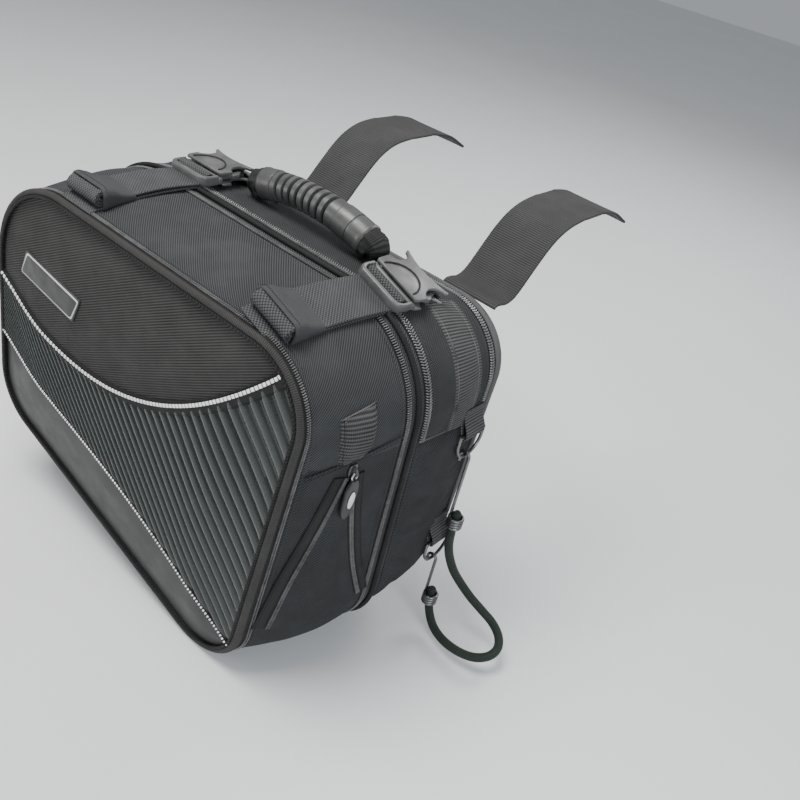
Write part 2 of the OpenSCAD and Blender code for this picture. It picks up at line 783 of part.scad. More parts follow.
back_panel();
back_binding();
rear_gusset();
lower_boot();
main_zip_inner();
cover_zip();
side_webbing();
anchor_webbing();
buckle_socket(front_strap_x);  // buckle_socket_front
buckle_socket(rear_strap_x);  // buckle_socket_rear
handle_anchors();
ring_tabs();
seat_strap(front_seat_strap_x);  // seat_strap_front
seat_strap(rear_seat_strap_x);  // seat_strap_rear
main_zip_slider();
main_zip_pull();
handle_strap();
handle_grip();
handle_collars();
d_ring(upper_ring_z);  // d_ring_upper
d_ring(lower_ring_z);  // d_ring_lower
bungee_hooks();
bungee_cord();
mid_band();
mid_piping();
main_zip_outer();
expansion_zip_inner();
expansion_slider();
expansion_pull();
expansion_bellows();
expansion_zip_outer();
outer_gusset();
pocket_wall();
front_zip_inner();
front_zip_slider();
front_zip_pull();
compression_straps();
strap_keepers();
side_tab();
side_zips();
side_bellows();
side_slider();
side_puller();
puller_inset();
buckle_plug(front_strap_x);  // buckle_plug_front
buckle_plug(rear_strap_x);  // buckle_plug_rear
buckle_arm(front_strap_x, -1);  // arm_front_a
buckle_arm(front_strap_x, 1);  // arm_front_b
buckle_arm(rear_strap_x, -1);  // arm_rear_a
buckle_arm(rear_strap_x, 1);  // arm_rear_b
front_board();
front_upper();
front_ribbed();
front_lower();
front_piping();
front_zip_outer();
reflective_lines();
badge();
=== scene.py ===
"""Looks of a soft motorcycle saddlebag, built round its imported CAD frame. Metres."""
import math

import bmesh
import bpy
import numpy as np
from mathutils import Matrix, Vector, noise


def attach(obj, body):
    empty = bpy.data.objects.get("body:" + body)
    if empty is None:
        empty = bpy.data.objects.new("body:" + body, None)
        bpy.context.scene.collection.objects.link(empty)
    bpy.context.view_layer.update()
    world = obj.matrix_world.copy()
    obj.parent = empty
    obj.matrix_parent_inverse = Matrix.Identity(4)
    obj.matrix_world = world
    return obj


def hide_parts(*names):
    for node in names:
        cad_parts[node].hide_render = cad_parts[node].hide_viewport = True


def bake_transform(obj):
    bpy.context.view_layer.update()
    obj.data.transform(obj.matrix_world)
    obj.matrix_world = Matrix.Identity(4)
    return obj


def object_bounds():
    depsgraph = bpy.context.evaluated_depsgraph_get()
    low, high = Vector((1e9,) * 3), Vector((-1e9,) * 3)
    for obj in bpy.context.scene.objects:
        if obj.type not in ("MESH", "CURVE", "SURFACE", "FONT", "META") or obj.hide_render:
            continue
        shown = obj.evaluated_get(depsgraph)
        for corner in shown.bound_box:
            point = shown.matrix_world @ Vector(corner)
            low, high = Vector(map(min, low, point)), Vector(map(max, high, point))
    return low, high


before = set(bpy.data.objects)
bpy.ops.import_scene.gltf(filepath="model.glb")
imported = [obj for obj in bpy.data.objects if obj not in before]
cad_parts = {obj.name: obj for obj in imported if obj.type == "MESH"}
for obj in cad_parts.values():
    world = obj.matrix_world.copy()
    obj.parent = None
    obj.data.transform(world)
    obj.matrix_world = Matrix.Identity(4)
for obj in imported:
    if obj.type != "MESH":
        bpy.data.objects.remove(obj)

cad_box = [list(corner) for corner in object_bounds()]
MM = 0.001


def mm(*values):
    """Numbers, or rows of numbers, in millimetres as an array in metres."""
    return np.array(values, float) * MM


# ---------------------------------------------------------------- driving dimensions
DEPTH = 210 * MM
FABRIC = 3 * MM
SEAM_Z = 55 * MM
BACK_CORNERS = mm([-205, 140], [215, 143], [205, -140], [-212, -75])
MID_CORNERS = mm([-198, 155], [206, 155], [206, -175], [-206, -115])
FACE_CORNERS = mm([-190, 149], [194, 149], [151, -195], [-200, -100])
BACK_RADII = mm(80, 50, 50, 60)
MID_RADII = mm(95, 85, 60, 60)
FACE_RADII = mm(95, 52, 55, 50)
STRAP_X = {"front": 133 * MM, "rear": -86 * MM}
STRAP_DRIFT = 0.075               # the front strap heads a little forwards as it goes inboard
STRAP_W = 40 * MM
STRAP_T = 2 * MM
ARC_STEPS = 26
EDGE_STEPS = [76, 52, 84, 34]      # points along the top, front, bottom and rear edges

UPPER_LINE = mm([-195, 44], [-70, -10], [50, 2], [178, 150])
LOWER_LINE = mm([-202, -16], [-100, -62], [10, -52], [160, -154])


# ---------------------------------------------------------------- camera and lights
def make_camera():
    right = (0.7421, 0.6365, 0.2099)
    up = (-0.4956, 0.3102, 0.8113)
    back = (0.4513, -0.7061, 0.5457)
    place = (0.4852, -0.5617, 0.4468)
    data = bpy.data.cameras.new("camera")
    data.lens = 38.27
    data.sensor_width = 36
    camera = bpy.data.objects.new("camera", data)
    camera.matrix_world = Matrix([(*row, place[k]) for k, row in
                                  enumerate(zip(right, up, back))] + [(0, 0, 0, 1)])
    bpy.context.scene.collection.objects.link(camera)
    bpy.context.scene.camera = camera


def area_light(name, place, target, size, watts, colour=(1, 1, 1)):
    data = bpy.data.lights.new(name, "AREA")
    data.shape = "SQUARE"
    data.size = size
    data.energy = watts
    data.color = colour
    light = bpy.data.objects.new(name, data)
    light.location = place
    light.rotation_mode = "QUATERNION"
    light.rotation_quaternion = (Vector(target) - Vector(place)).to_track_quat("-Z", "Y")
    bpy.context.scene.collection.objects.link(light)


def make_studio():
    world = bpy.data.worlds.new("studio")
    world.use_nodes = True
    world.node_tree.nodes["Background"].inputs["Color"].default_value = (0.86, 0.9, 0.95, 1)
    world.node_tree.nodes["Background"].inputs["Strength"].default_value = 0.4
    bpy.context.scene.world = world
    area_light("key", (-0.3, -0.5, 1.7), (0, -0.1, 0), 0.9, 46, (1, 0.98, 0.95))
    area_light("side", (1.6, -0.9, 0.8), (0, -0.1, 0), 1.0, 22, (0.93, 0.96, 1))
    area_light("low", (-1.3, -1.5, 0.4), (0, -0.2, 0), 0.7, 9)
    area_light("rim", (0.1, 1.5, 1.3), (0, -0.1, 0), 0.8, 16)
    floor_z = cad_box[0][2] - 0.002
    bpy.ops.mesh.primitive_plane_add(size=12, location=(0, 0, floor_z))
    floor = bpy.context.object
    floor.name = "floor"
    floor.data.materials.append(floor_material())


def floor_material():
    shader = Shader("pale_floor", 0.9)
    shader.colour(shader.mix(shader.noise(3, 2), (0.70, 0.71, 0.72), (0.76, 0.77, 0.78)))
    return shader.mat


# ---------------------------------------------------------------- materials
class Shader:
    """Writes one procedural material, node by node."""

    def __init__(self, name, roughness, metallic=0.0, **sockets):
        self.mat = bpy.data.materials.new(name)
        self.mat.use_nodes = True
        self.tree = self.mat.node_tree
        self.bsdf = self.tree.nodes["Principled BSDF"]
        self.bsdf.inputs["Roughness"].default_value = roughness
        self.bsdf.inputs["Metallic"].default_value = metallic
        for socket, value in sockets.items():
            self.bsdf.inputs[socket.replace("_", " ")].default_value = value

    def node(self, kind, **values):
        node = self.tree.nodes.new(kind)
        for key, value in values.items():
            setattr(node, key, value)
        return node

    def put(self, socket, value):
        if isinstance(value, bpy.types.NodeSocket):
            self.tree.links.new(value, socket)
        elif isinstance(value, (tuple, list)) and len(value) == 3 and socket.type == "RGBA":
            socket.default_value = (*value, 1)
        else:
            socket.default_value = value

    def maths(self, operation, *values):
        node = self.node("ShaderNodeMath", operation=operation)
        for socket, value in zip(node.inputs, values):
            self.put(socket, value)
        return node.outputs[0]

    def weave(self):
        """Distances along and across the cloth, in metres."""
        uv = self.node("ShaderNodeUVMap", uv_map="weave").outputs["UV"]
        parts = self.node("ShaderNodeSeparateXYZ")
        self.put(parts.inputs[0], uv)
        return parts.outputs[0], parts.outputs[1]

    def place(self):
        return self.node("ShaderNodeTexCoord").outputs["Object"]

    def noise(self, scale, detail=3, rough=0.5):
        node = self.node("ShaderNodeTexNoise")
        self.put(node.inputs["Vector"], self.place())
        node.inputs["Scale"].default_value = scale
        node.inputs["Detail"].default_value = detail
        node.inputs["Roughness"].default_value = rough
        return node.outputs[0]

    def cells(self, scale):
        node = self.node("ShaderNodeTexVoronoi")
        self.put(node.inputs["Vector"], self.place())
        node.inputs["Scale"].default_value = scale
        return node.outputs["Distance"]

    def wave(self, length, pitch):
        """A cosine from 0 to 1 that repeats every pitch."""
        turn = self.maths("COSINE", self.maths("MULTIPLY", length, 2 * math.pi / pitch))
        return self.maths("MULTIPLY_ADD", turn, 0.5, 0.5)

    def mix(self, share, a, b):
        node = self.node("ShaderNodeMix", data_type="RGBA")
        self.put(node.inputs[0], share)
        self.put(node.inputs[6], a)
        self.put(node.inputs[7], b)
        return node.outputs[2]

    def spread(self, value, low, high, to_low, to_high):
        node = self.node("ShaderNodeMapRange")
        for socket, number in zip(node.inputs, (value, low, high, to_low, to_high)):
            self.put(socket, number)
        return node.outputs[0]

    def colour(self, value):
        self.put(self.bsdf.inputs["Base Color"], value)

    def roughness(self, value):
        self.put(self.bsdf.inputs["Roughness"], value)

    def bump(self, height, distance, strength=1.0):
        node = self.node("ShaderNodeBump")
        node.inputs["Strength"].default_value = strength
        node.inputs["Distance"].default_value = distance
        self.put(node.inputs["Height"], height)
        self.put(self.bsdf.inputs["Normal"], node.outputs[0])


def plain_weave(shader, pitch):
    u, v = shader.weave()
    u_wave = shader.maths("COSINE", shader.maths("MULTIPLY", u, math.pi / pitch))
    v_wave = shader.maths("COSINE", shader.maths("MULTIPLY", v, math.pi / pitch))
    return shader.maths("MULTIPLY_ADD", shader.maths("MULTIPLY", u_wave, v_wave), 0.5, 0.5)


def ribbed_weave(shader, pitch, along):
    u, v = shader.weave()
    ribs = shader.wave(u if along else v, pitch)
    yarn = shader.wave(v if along else u, pitch * 0.45)
    return shader.maths("MULTIPLY_ADD", yarn, 0.3, shader.maths("MULTIPLY", ribs, 0.7))


def tilted_weave(shader, pitch, degrees):
    """Ribs that climb at an angle to the cloth's length, crossed by a finer yarn."""
    u, v = shader.weave()
    c, s = math.cos(math.radians(degrees)), math.sin(math.radians(degrees))
    rise = shader.maths("SUBTRACT", shader.maths("MULTIPLY", v, c), shader.maths("MULTIPLY", u, s))
    run = shader.maths("ADD", shader.maths("MULTIPLY", u, c), shader.maths("MULTIPLY", v, s))
    yarn = shader.wave(run, pitch * 0.55)
    return shader.maths("MULTIPLY_ADD", yarn, 0.3, shader.maths("MULTIPLY",
                                                                shader.wave(rise, pitch), 0.7))


def chevron_weave(shader, pitch, width):
    u, v = shader.weave()
    fold = shader.maths("PINGPONG", v, width)
    strands = shader.wave(shader.maths("ADD", u, fold), pitch)
    yarn = shader.wave(shader.maths("SUBTRACT", u, fold), pitch * 0.5)
    return shader.maths("MULTIPLY_ADD", yarn, 0.2, shader.maths("MULTIPLY", strands, 0.8))


def cloth(name, weave, dark, light, depth, roughness=0.85):
    """A woven fabric: painted shade in the weave's hollows and painted highlight on its crowns,
    uneven dye, a little dust and a bump from the weave.
    """
    shader = Shader(name, roughness, Specular_IOR_Level=0.16)
    height = weave(shader)
    # The weave's height sets the colour: painted shade (dark) in the hollows, painted highlight
    # (light) on the crowns.
    weave_shading = shader.mix(height, dark, light)
    dust = shader.spread(shader.noise(28, 5, 0.6), 0.45, 0.75, 0.0, 0.22)
    shader.colour(shader.mix(dust, weave_shading, tuple(c * 1.25 + 0.003 for c in light)))
    shader.roughness(shader.spread(shader.noise(60), 0.3, 0.7, roughness - 0.08, roughness + 0.06))
    fuzz = shader.maths("MULTIPLY_ADD", shader.noise(2600, 1), 0.25, height)
    shader.bump(fuzz, depth, 0.9)
    return shader.mat


def moulded(name, dark, light, roughness, grain=900, depth=0.00006, **sockets):
    """A moulded plastic or rubber with fine grain and duller, paler patches of wear."""
    shader = Shader(name, roughness, **sockets)
    wear = shader.spread(shader.noise(35, 6, 0.65), 0.42, 0.72, 0.0, 1.0)
    shader.colour(shader.mix(wear, dark, light))
    shader.roughness(shader.spread(shader.noise(80, 4), 0.3, 0.7, roughness - 0.07, roughness + 0.12))
    shader.bump(shader.noise(grain, 3), depth, 0.6)
    return shader.mat


def metal(name, dark, light, roughness):
    shader = Shader(name, roughness, metallic=0.9)
    shader.colour(shader.mix(shader.noise(140, 5), dark, light))
    shader.roughness(shader.spread(shader.noise(260, 4), 0.3, 0.7, roughness - 0.1, roughness + 0.15))
    shader.bump(shader.noise(900, 2), 0.00003, 0.5)
    return shader.mat


def leather(name, dark, light, scale, depth, roughness, coat=0.08):
    shader = Shader(name, roughness, Specular_IOR_Level=0.45, Coat_Weight=coat,
                    Coat_Roughness=0.25)
    cells = shader.cells(scale)
    grain = shader.maths("MULTIPLY_ADD", shader.noise(scale * 2.5, 3), 0.4, cells)
    shader.colour(shader.mix(shader.spread(cells, 0.0, 0.6, 0.0, 1.0), dark, light))
    shader.roughness(shader.spread(shader.noise(45, 4), 0.3, 0.7, roughness - 0.06, roughness + 0.1))
    shader.bump(grain, depth, 0.8)
    return shader.mat


def grey(value, warm=0.0):
    return (value * (1 + warm), value, value * (1 - warm))


def make_materials():
    # For each cloth the first colour is painted shade in the weave's hollows and the second is
    # painted highlight on its crowns.
    return {
        "top_fabric": cloth("top_fabric", lambda s: tilted_weave(s, 0.0019, 45),
                            grey(0.006, -0.04), grey(0.074, -0.04), 0.00045),
        "rear_fabric": cloth("rear_fabric", lambda s: plain_weave(s, 0.0010),
                             grey(0.007, -0.04), grey(0.06, -0.04), 0.0004),
        "boot_twill": cloth("boot_twill", lambda s: tilted_weave(s, 0.0023, 45),
                            grey(0.005, -0.05), grey(0.05, -0.05), 0.0005),
        "back_fabric": cloth("back_fabric", lambda s: plain_weave(s, 0.0018),
                             grey(0.01), grey(0.04), 0.0003),
        "front_fabric": cloth("front_fabric", lambda s: tilted_weave(s, 0.0021, 29),
                              grey(0.006, 0.03), grey(0.068, 0.03), 0.0005),
        "webbing": cloth("webbing", lambda s: plain_weave(s, 0.0014),
                         grey(0.008, -0.03), grey(0.1, -0.03), 0.0006, 0.78),
        "side_webbing": cloth("side_webbing", lambda s: ribbed_weave(s, 0.0026, True),
                              grey(0.008), grey(0.11), 0.0007, 0.78),
        "tab_webbing": cloth("tab_webbing", lambda s: ribbed_weave(s, 0.0031, True),
                             grey(0.002), grey(0.095), 0.0009, 0.75),
        "seat_webbing": cloth("seat_webbing", lambda s: ribbed_weave(s, 0.0021, True),
                              grey(0.016), grey(0.066), 0.0004, 0.82),
        "binding": cloth("binding", lambda s: ribbed_weave(s, 0.0012, True),
                         grey(0.005), grey(0.026), 0.0002, 0.7),
        "pale_binding": cloth("pale_binding", lambda s: ribbed_weave(s, 0.0009, True),
                              grey(0.05), grey(0.11), 0.0002, 0.6),
        "piping_cloth": cloth("piping_cloth", lambda s: ribbed_weave(s, 0.0016, True),
                              grey(0.012, 0.03), grey(0.06, 0.03), 0.0004, 0.7),
        "braid": cloth("braid", lambda s: chevron_weave(s, 0.0034, 0.0022),
                       grey(0.002), grey(0.022), 0.0006, 0.6),
        "zip_tape": cloth("zip_tape", lambda s: tilted_weave(s, 0.0010, 45),
                          grey(0.008), grey(0.026), 0.00015, 0.7),
        "handle_cloth": cloth("handle_cloth", lambda s: ribbed_weave(s, 0.0012, True),
                              grey(0.01), grey(0.042), 0.0003, 0.9),
        "thread": cloth("thread", lambda s: tilted_weave(s, 0.0006, 45),
                        grey(0.10), grey(0.20), 0.0001, 0.6),
        "dark_thread": cloth("dark_thread", lambda s: tilted_weave(s, 0.0006, 45),
                             grey(0.003), grey(0.01), 0.0001, 0.6),
        "cord_sleeve": cloth("cord_sleeve", lambda s: chevron_weave(s, 0.0022, 0.0034),
                             (0.006, 0.01, 0.007), (0.035, 0.047, 0.038), 0.0005, 0.5),
        "elastic": cloth("elastic", lambda s: ribbed_weave(s, 0.0009, True),
                         grey(0.03, -0.04), grey(0.062, -0.04), 0.00012, 0.6),
        # The coils' pale grey is painted highlight on the coil turns.
        "zip_coil": moulded("zip_coil", grey(0.11), grey(0.19), 0.25, 1500, 0.00003,
                            Specular_IOR_Level=0.7),
        "buckle_plastic": moulded("buckle_plastic", grey(0.075), grey(0.135), 0.36, 1100,
                                  0.00005),
        "grip_rubber": moulded("grip_rubber", grey(0.05), grey(0.085), 0.36, 700, 0.00006),
        # Near-black: painted shade in the grip's deep slots and along the arc on each buckle socket's
        # top.
        "slot_shade": moulded("slot_shade", grey(0.006), grey(0.012), 0.6, 700, 0.00006),
        "puller_rubber": moulded("puller_rubber", grey(0.012), grey(0.026), 0.4, 700, 0.00006),
        "inset_plastic": moulded("inset_plastic", grey(0.62), grey(0.75), 0.35),
        "badge_rubber": moulded("badge_rubber", grey(0.016), grey(0.03), 0.45),
        "badge_rim": moulded("badge_rim", grey(0.5), grey(0.62), 0.4),
        "board": moulded("board", grey(0.01), grey(0.016), 0.6),
        "reflective": moulded("reflective", grey(0.78), grey(0.9), 0.3, 2500, 0.00006,
                              Specular_IOR_Level=0.7),
        "ribbed_pvc": leather("ribbed_pvc", (0.005, 0.0075, 0.0066), (0.016, 0.021, 0.019),
                              900, 0.00003, 0.22, 0.2),
        "front_leather": leather("front_leather", grey(0.007), grey(0.022), 700, 0.0001, 0.5),
        "zip_metal": metal("zip_metal", grey(0.06), grey(0.13), 0.32),
        "steel_wire": metal("steel_wire", grey(0.10), grey(0.22), 0.32),
        "bright_metal": metal("bright_metal", grey(0.45), grey(0.6), 0.25),
    }


# ---------------------------------------------------------------- the bag's outline
def unit(v):
    return v / np.linalg.norm(v, axis=-1, keepdims=True)


def left(v):
    return np.array([-v[1], v[0]])


def blend3(a, b, c, y):
    t = -y / DEPTH
    return a * 2 * (t - 0.5) * (t - 1) - b * 4 * t * (t - 1) + c * 2 * t * (t - 0.5)


def corners_at(y):
    return blend3(BACK_CORNERS, MID_CORNERS, FACE_CORNERS, y)


def radii_at(y):
    return blend3(BACK_RADII, MID_RADII, FACE_RADII, y)


def corner_arc(y, i, inset):
    c = corners_at(y)
    to_last = unit(c[(i + 3) % 4] - c[i])
    to_next = unit(c[(i + 1) % 4] - c[i])
    half = math.acos(to_last @ to_next) / 2
    centre = c[i] + unit(to_last + to_next) * radii_at(y)[i] / math.sin(half)
    normal = left(-to_last)
    turn = math.pi - 2 * half
    angles = math.atan2(normal[1], normal[0]) - turn * np.linspace(0, 1, ARC_STEPS + 1)
    return centre + (radii_at(y)[i] - inset) * np.stack([np.cos(angles), np.sin(angles)], 1)


def between(p, q, steps):
    return p + (q - p) * np.linspace(0, 1, steps + 1)[1:-1, None]


def edge_point(y, i, z, inset):
    c = corners_at(y)
    d = c[(i + 1) % 4] - c[i]
    n = left(unit(d))
    return c[i] + (z + inset * n[1] - c[i][1]) / d[1] * d - inset * n


def ring(y, inset=0.0):
    arcs = [corner_arc(y, i, inset) for i in range(4)]
    rows = []
    for i in range(4):
        rows += [arcs[i], between(arcs[i][-1], arcs[(i + 1) % 4][0], EDGE_STEPS[i])]
    return np.vstack(rows)


def upper(y, inset=0.0):
    rear_arc, front_arc = corner_arc(y, 0, inset), corner_arc(y, 1, inset)
    low_rear, low_front = edge_point(y, 3, SEAM_Z, inset), edge_point(y, 1, SEAM_Z, inset)
    return np.vstack([low_rear, between(low_rear, rear_arc[0], 10), rear_arc,
                      between(rear_arc[-1], front_arc[0], EDGE_STEPS[0]), front_arc,
                      between(front_arc[-1], low_front, 14), low_front])


def lower(y, inset=0.0):
    front_arc, rear_arc = corner_arc(y, 2, inset), corner_arc(y, 3, inset)
    low_front, low_rear = edge_point(y, 1, SEAM_Z, inset), edge_point(y, 3, SEAM_Z, inset)
    return np.vstack([low_front, between(low_front, front_arc[0], 40), front_arc,
                      between(front_arc[-1], rear_arc[0], EDGE_STEPS[2]), rear_arc,
                      between(rear_arc[-1], low_rear, 30), low_rear])


def front_side(y, inset=0.0):
    """The front side from the middle of its top corner to the middle of its bottom one."""
    top, bottom = corner_arc(y, 1, inset), corner_arc(y, 2, inset)
    return np.vstack([top[4:], between(top[-1], bottom[0], 40), bottom[:18]])


def in_space(flat, y):
    return np.stack([flat[:, 0], np.full(len(flat), y), flat[:, 1]], 1)


def outward(shape, y):
    return in_space(unit(shape(y, -MM) - shape(y, 0.0)), 0.0)


def rim(shape, y, out=0.0):
    """Points along the outline at depth y, moved out of the bag, and their outward normals."""
    normals = outward(shape, y)
    return in_space(shape(y), y) + normals * out, normals


def front_at(y, z, out=0.0):
    """The point on the bag's front side at depth y and height z, and its normal."""
    line = front_side(y)[::-1]
    normals = unit(front_side(y, -MM) - front_side(y))[::-1]
    x = np.interp(z, line[:, 1], line[:, 0])
    normal = np.array([np.interp(z, line[:, 1], normals[:, 0]), 0.0,
                       np.interp(z, line[:, 1], normals[:, 1])])
    return np.array([x, y, z]) + normal * out, normal


def top_z(x, y):
    c, r = corners_at(y), radii_at(y)
    past = max(x - (c[1][0] - r[1]), c[0][0] + r[0] - x, 0)
    radius = r[1] if x > 0 else r[0]
    slope = (c[1][1] - c[0][1]) / (c[1][0] - c[0][0])
    return c[0][1] + slope * (x - c[0][0]) - radius + math.sqrt(radius ** 2 - past ** 2)


# ---------------------------------------------------------------- mesh helpers
class Piece:
    """Collects surfaces with weave coordinates that become one mesh object."""

    def __init__(self, name, *materials):
        self.name, self.materials = name, materials
        self.points, self.faces, self.uvs, self.slots = [], [], [], []
        self.count = 0

    def add(self, points, faces, uvs=None, slot=0):
        points = np.asarray(points, float).reshape(-1, 3)
        if uvs is None:
            uvs = [(points[v][0] + points[v][1], points[v][2]) for face in faces for v in face]
        self.points.append(points)
        self.faces += [tuple(int(v) + self.count for v in face) for face in faces]
        self.uvs.append(np.asarray(uvs, float).reshape(-1, 2))
        self.slots += [slot] * len(faces)
        self.count += len(points)

    def sweep(self, sections, closed=False, slot=0, round_section=True, lids=True, flat_axes=None):
        """Skins a row of sections. Each section is a loop, or a line if round_section is off."""
        sections = np.asarray(sections, float)
        n, m = sections.shape[:2]
        i = np.arange(n if closed else n - 1)[:, None]
        j = np.arange(m if round_section else m - 1)[None, :]
        i2, j2 = (i + 1) % n, (j + 1) % m
        quads = np.stack([i * m + j, i * m + j2, i2 * m + j2, i2 * m + j], -1).reshape(-1, 4)
        loop = np.vstack([sections.mean(1), sections.mean(1)[:1]])
        along = np.concatenate([[0], np.cumsum(np.linalg.norm(np.diff(loop, axis=0), axis=1))])
        girth = np.vstack([sections[n // 2], sections[n // 2][:1]])
        across = np.concatenate([[0], np.cumsum(np.linalg.norm(np.diff(girth, axis=0), axis=1))])
        u = np.broadcast_to(along[np.stack([i, i, i + 1, i + 1], -1)],
                            (i.shape[0], j.shape[1], 4)).reshape(-1)
        v = np.broadcast_to(across[np.stack([j, j + 1, j + 1, j], -1)],
                            (i.shape[0], j.shape[1], 4)).reshape(-1)
        flat = sections.reshape(-1, 3)
        if flat_axes:
            u, v = flat[quads.ravel(), flat_axes[0]], flat[quads.ravel(), flat_axes[1]]
        faces = quads.tolist()
        uvs = np.stack([u, v], 1)
        if lids and round_section and not closed:
            ends = [list(range(m))[::-1], list(range((n - 1) * m, n * m))]
            faces += ends
            uvs = np.vstack([uvs, flat[ends[0]][:, :2], flat[ends[1]][:, :2]])
        if lids and not round_section and closed:
            ends = [[k * m for k in range(n)], [k * m + m - 1 for k in range(n)][::-1]]
            faces += ends
            uvs = np.vstack([uvs, flat[ends[0]][:, [0, 2]], flat[ends[1]][:, [0, 2]]])
        self.add(flat, faces, uvs, slot)

    def slab(self, front, back, slot=0, flat_axes=(0, 2)):
        """A thick sheet between two grids of points."""
        sections = np.concatenate([front, back[:, ::-1]], axis=1)
        self.sweep(sections, slot=slot, lids=False, flat_axes=flat_axes)
        n, m = sections.shape[:2]
        half = m // 2
        base = self.count - n * m
        for row in (0, n - 1):
            for j in range(half - 1):
                a, b = row * m + j, row * m + j + 1
                c, d = row * m + m - 2 - j, row * m + m - 1 - j
                quad = (a, d, c, b) if row else (a, b, c, d)
                self.faces.append(tuple(v + base for v in quad))
                self.uvs.append(np.zeros((4, 2)))
                self.slots.append(slot)

    def scatter(self, template, faces, origins, axes, slot=0):
        """Copies a small shape to every origin, turned to its along, across and up axes."""
        placed = origins[:, None] + np.einsum("vk,nkc->nvc", template, axes)
        count, size = placed.shape[:2]
        many = [tuple(v + k * size for v in face) for k in range(count) for face in faces]
        flat = placed.reshape(-1, 3)
        corners = np.array([v % size for face in faces for v in face])
        uvs = np.tile(template[corners][:, :2], (count, 1))
        self.add(flat, many, uvs, slot)

    def make(self, sharp=38):
        mesh = bpy.data.meshes.new(self.name)
        mesh.from_pydata(np.vstack(self.points).tolist(), [], self.faces)
        layer = mesh.uv_layers.new(name="weave")
        layer.data.foreach_set("uv", np.vstack(self.uvs).astype(np.float32).ravel())
        mesh.polygons.foreach_set("material_index", self.slots)
        work = bmesh.new()
        work.from_mesh(mesh)
        bmesh.ops.recalc_face_normals(work, faces=work.faces)
        work.to_mesh(mesh)
        work.free()
        mesh.polygons.foreach_set("use_smooth", [True] * len(mesh.polygons))
        mesh.set_sharp_from_angle(angle=math.radians(sharp))
        for material in self.materials:
            mesh.materials.append(looks[material])
        obj = bpy.data.objects.new(self.name, mesh)
        bpy.context.scene.collection.objects.link(obj)
        return obj


def sweep_faces(n, m):
    quads = [(k * m + j, k * m + (j + 1) % m, (k + 1) * m + (j + 1) % m, (k + 1) * m + j)
             for k in range(n - 1) for j in range(m)]
    return quads + [tuple(range(m))[::-1], tuple(range((n - 1) * m, n * m))]


def pill(length, width, height, sides=6):
    """A small bar with rounded ends, along its first axis: its points and faces."""
    stops = [(-0.5, 0.5), (-0.36, 1.0), (0.36, 1.0), (0.5, 0.5)]
    points = [(s * length, r * width / 2 * math.cos(2 * math.pi * k / sides),
               r * height / 2 * math.sin(2 * math.pi * k / sides))
              for s, r in stops for k in range(sides)]
    return np.array(points), sweep_faces(len(stops), sides)


def turned(points, degrees):
    """Points turned in the plane of their first two axes."""
    c, s = math.cos(math.radians(degrees)), math.sin(math.radians(degrees))
    return points @ np.array([[c, s, 0], [-s, c, 0], [0, 0, 1]])


def stations(line, normals, pitch, closed=False, start=0.0):
    """Places a pitch apart along a line, with the along, across and up axes at each."""
    if closed:
        line, normals = np.vstack([line, line[:1]]), np.vstack([normals, normals[:1]])
    steps = np.linalg.norm(np.diff(line, axis=0), axis=1)
    length = np.concatenate([[0], np.cumsum(steps)])
    count = max(1, round((length[-1] - start) / pitch))
    at = start + (np.arange(count) + 0.5) * (length[-1] - start) / count
    origins = np.stack([np.interp(at, length, line[:, k]) for k in range(3)], 1)
    ahead = np.stack([np.interp(at + 0.0005, length, line[:, k]) for k in range(3)], 1)
    behind = np.stack([np.interp(at - 0.0005, length, line[:, k]) for k in range(3)], 1)
    up = unit(np.stack([np.interp(at, length, normals[:, k]) for k in range(3)], 1))
    along = unit(ahead - behind)
    across = np.cross(up, along)
    return origins, np.stack([along, across, up], 1)


def stitches(piece, line, normals, slot, pitch=3.4 * MM, closed=False):
    origins, axes = stations(line, normals, pitch, closed)
    points, faces = pill(pitch * 0.74, 0.55 * MM, 0.5 * MM)
    piece.scatter(points, faces, origins, axes, slot)


def spline(points, steps):
    """A smooth line through points, as a Catmull-Rom curve."""
    points = np.asarray(points, float)
    ends = np.vstack([2 * points[0] - points[1], points, 2 * points[-1] - points[-2]])
    t = np.linspace(0, 1, steps, endpoint=False)[:, None]
    rows = []
    for a, b, c, d in zip(ends, ends[1:], ends[2:], ends[3:]):
        rows.append(0.5 * (2 * b + (c - a) * t + (2 * a - 5 * b + 4 * c - d) * t ** 2
                           + (3 * b - a - 3 * c + d) * t ** 3))
    return np.vstack([*rows, points[-1:]])


def tube(line, radius, sides=12, flat=1.0, start_up=(0, 1, 0)):
    """Round sections along a line. radius may be one number or one for each point."""
    line = np.asarray(line, float)
    radius = np.broadcast_to(radius, len(line))
    along = unit(np.gradient(line, axis=0))
    up = np.array(start_up, float)
    angles = np.linspace(0, 2 * math.pi, sides, endpoint=False)
    sections = []
    for p, d, r in zip(line, along, radius):
        up = unit(up - d * (up @ d))
        side = np.cross(d, up)
        sections.append([p + r * (math.cos(a) * side + flat * math.sin(a) * up) for a in angles])
    return np.array(sections)


def smooth(low, high, x):
    t = np.clip((x - low) / (high - low), 0, 1)
    return t * t * (3 - 2 * t)


def rumple(points, scale, seed):
    """Soft noise from -1 to 1 at each point."""
    shift = Vector((seed * 7.13, seed * 3.31, seed * 5.77))
    flat = points.reshape(-1, 3)
    values = [noise.noise(Vector(p) * scale + shift) for p in flat]
    return np.array(values).reshape(points.shape[:-1])


def circle_section(shape, y, radius, out, sides=12, flat=1.0):
    """Round cord sections that follow the outline at depth y."""
    columns = []
    for k in range(sides):
        a = 2 * math.pi * k / sides
        columns.append(rim(shape, y + flat * radius * math.cos(a), out + radius * math.sin(a))[0])
    return np.stack(columns, 1)


# ---------------------------------------------------------------- fabric panels
ROLL = mm([0, -0.6], [0.4, 0.3], [1.1, 0.7], [2.0, 0.75], [3.0, 0.4], [3.8, -0.15], [5.0, 0.2])


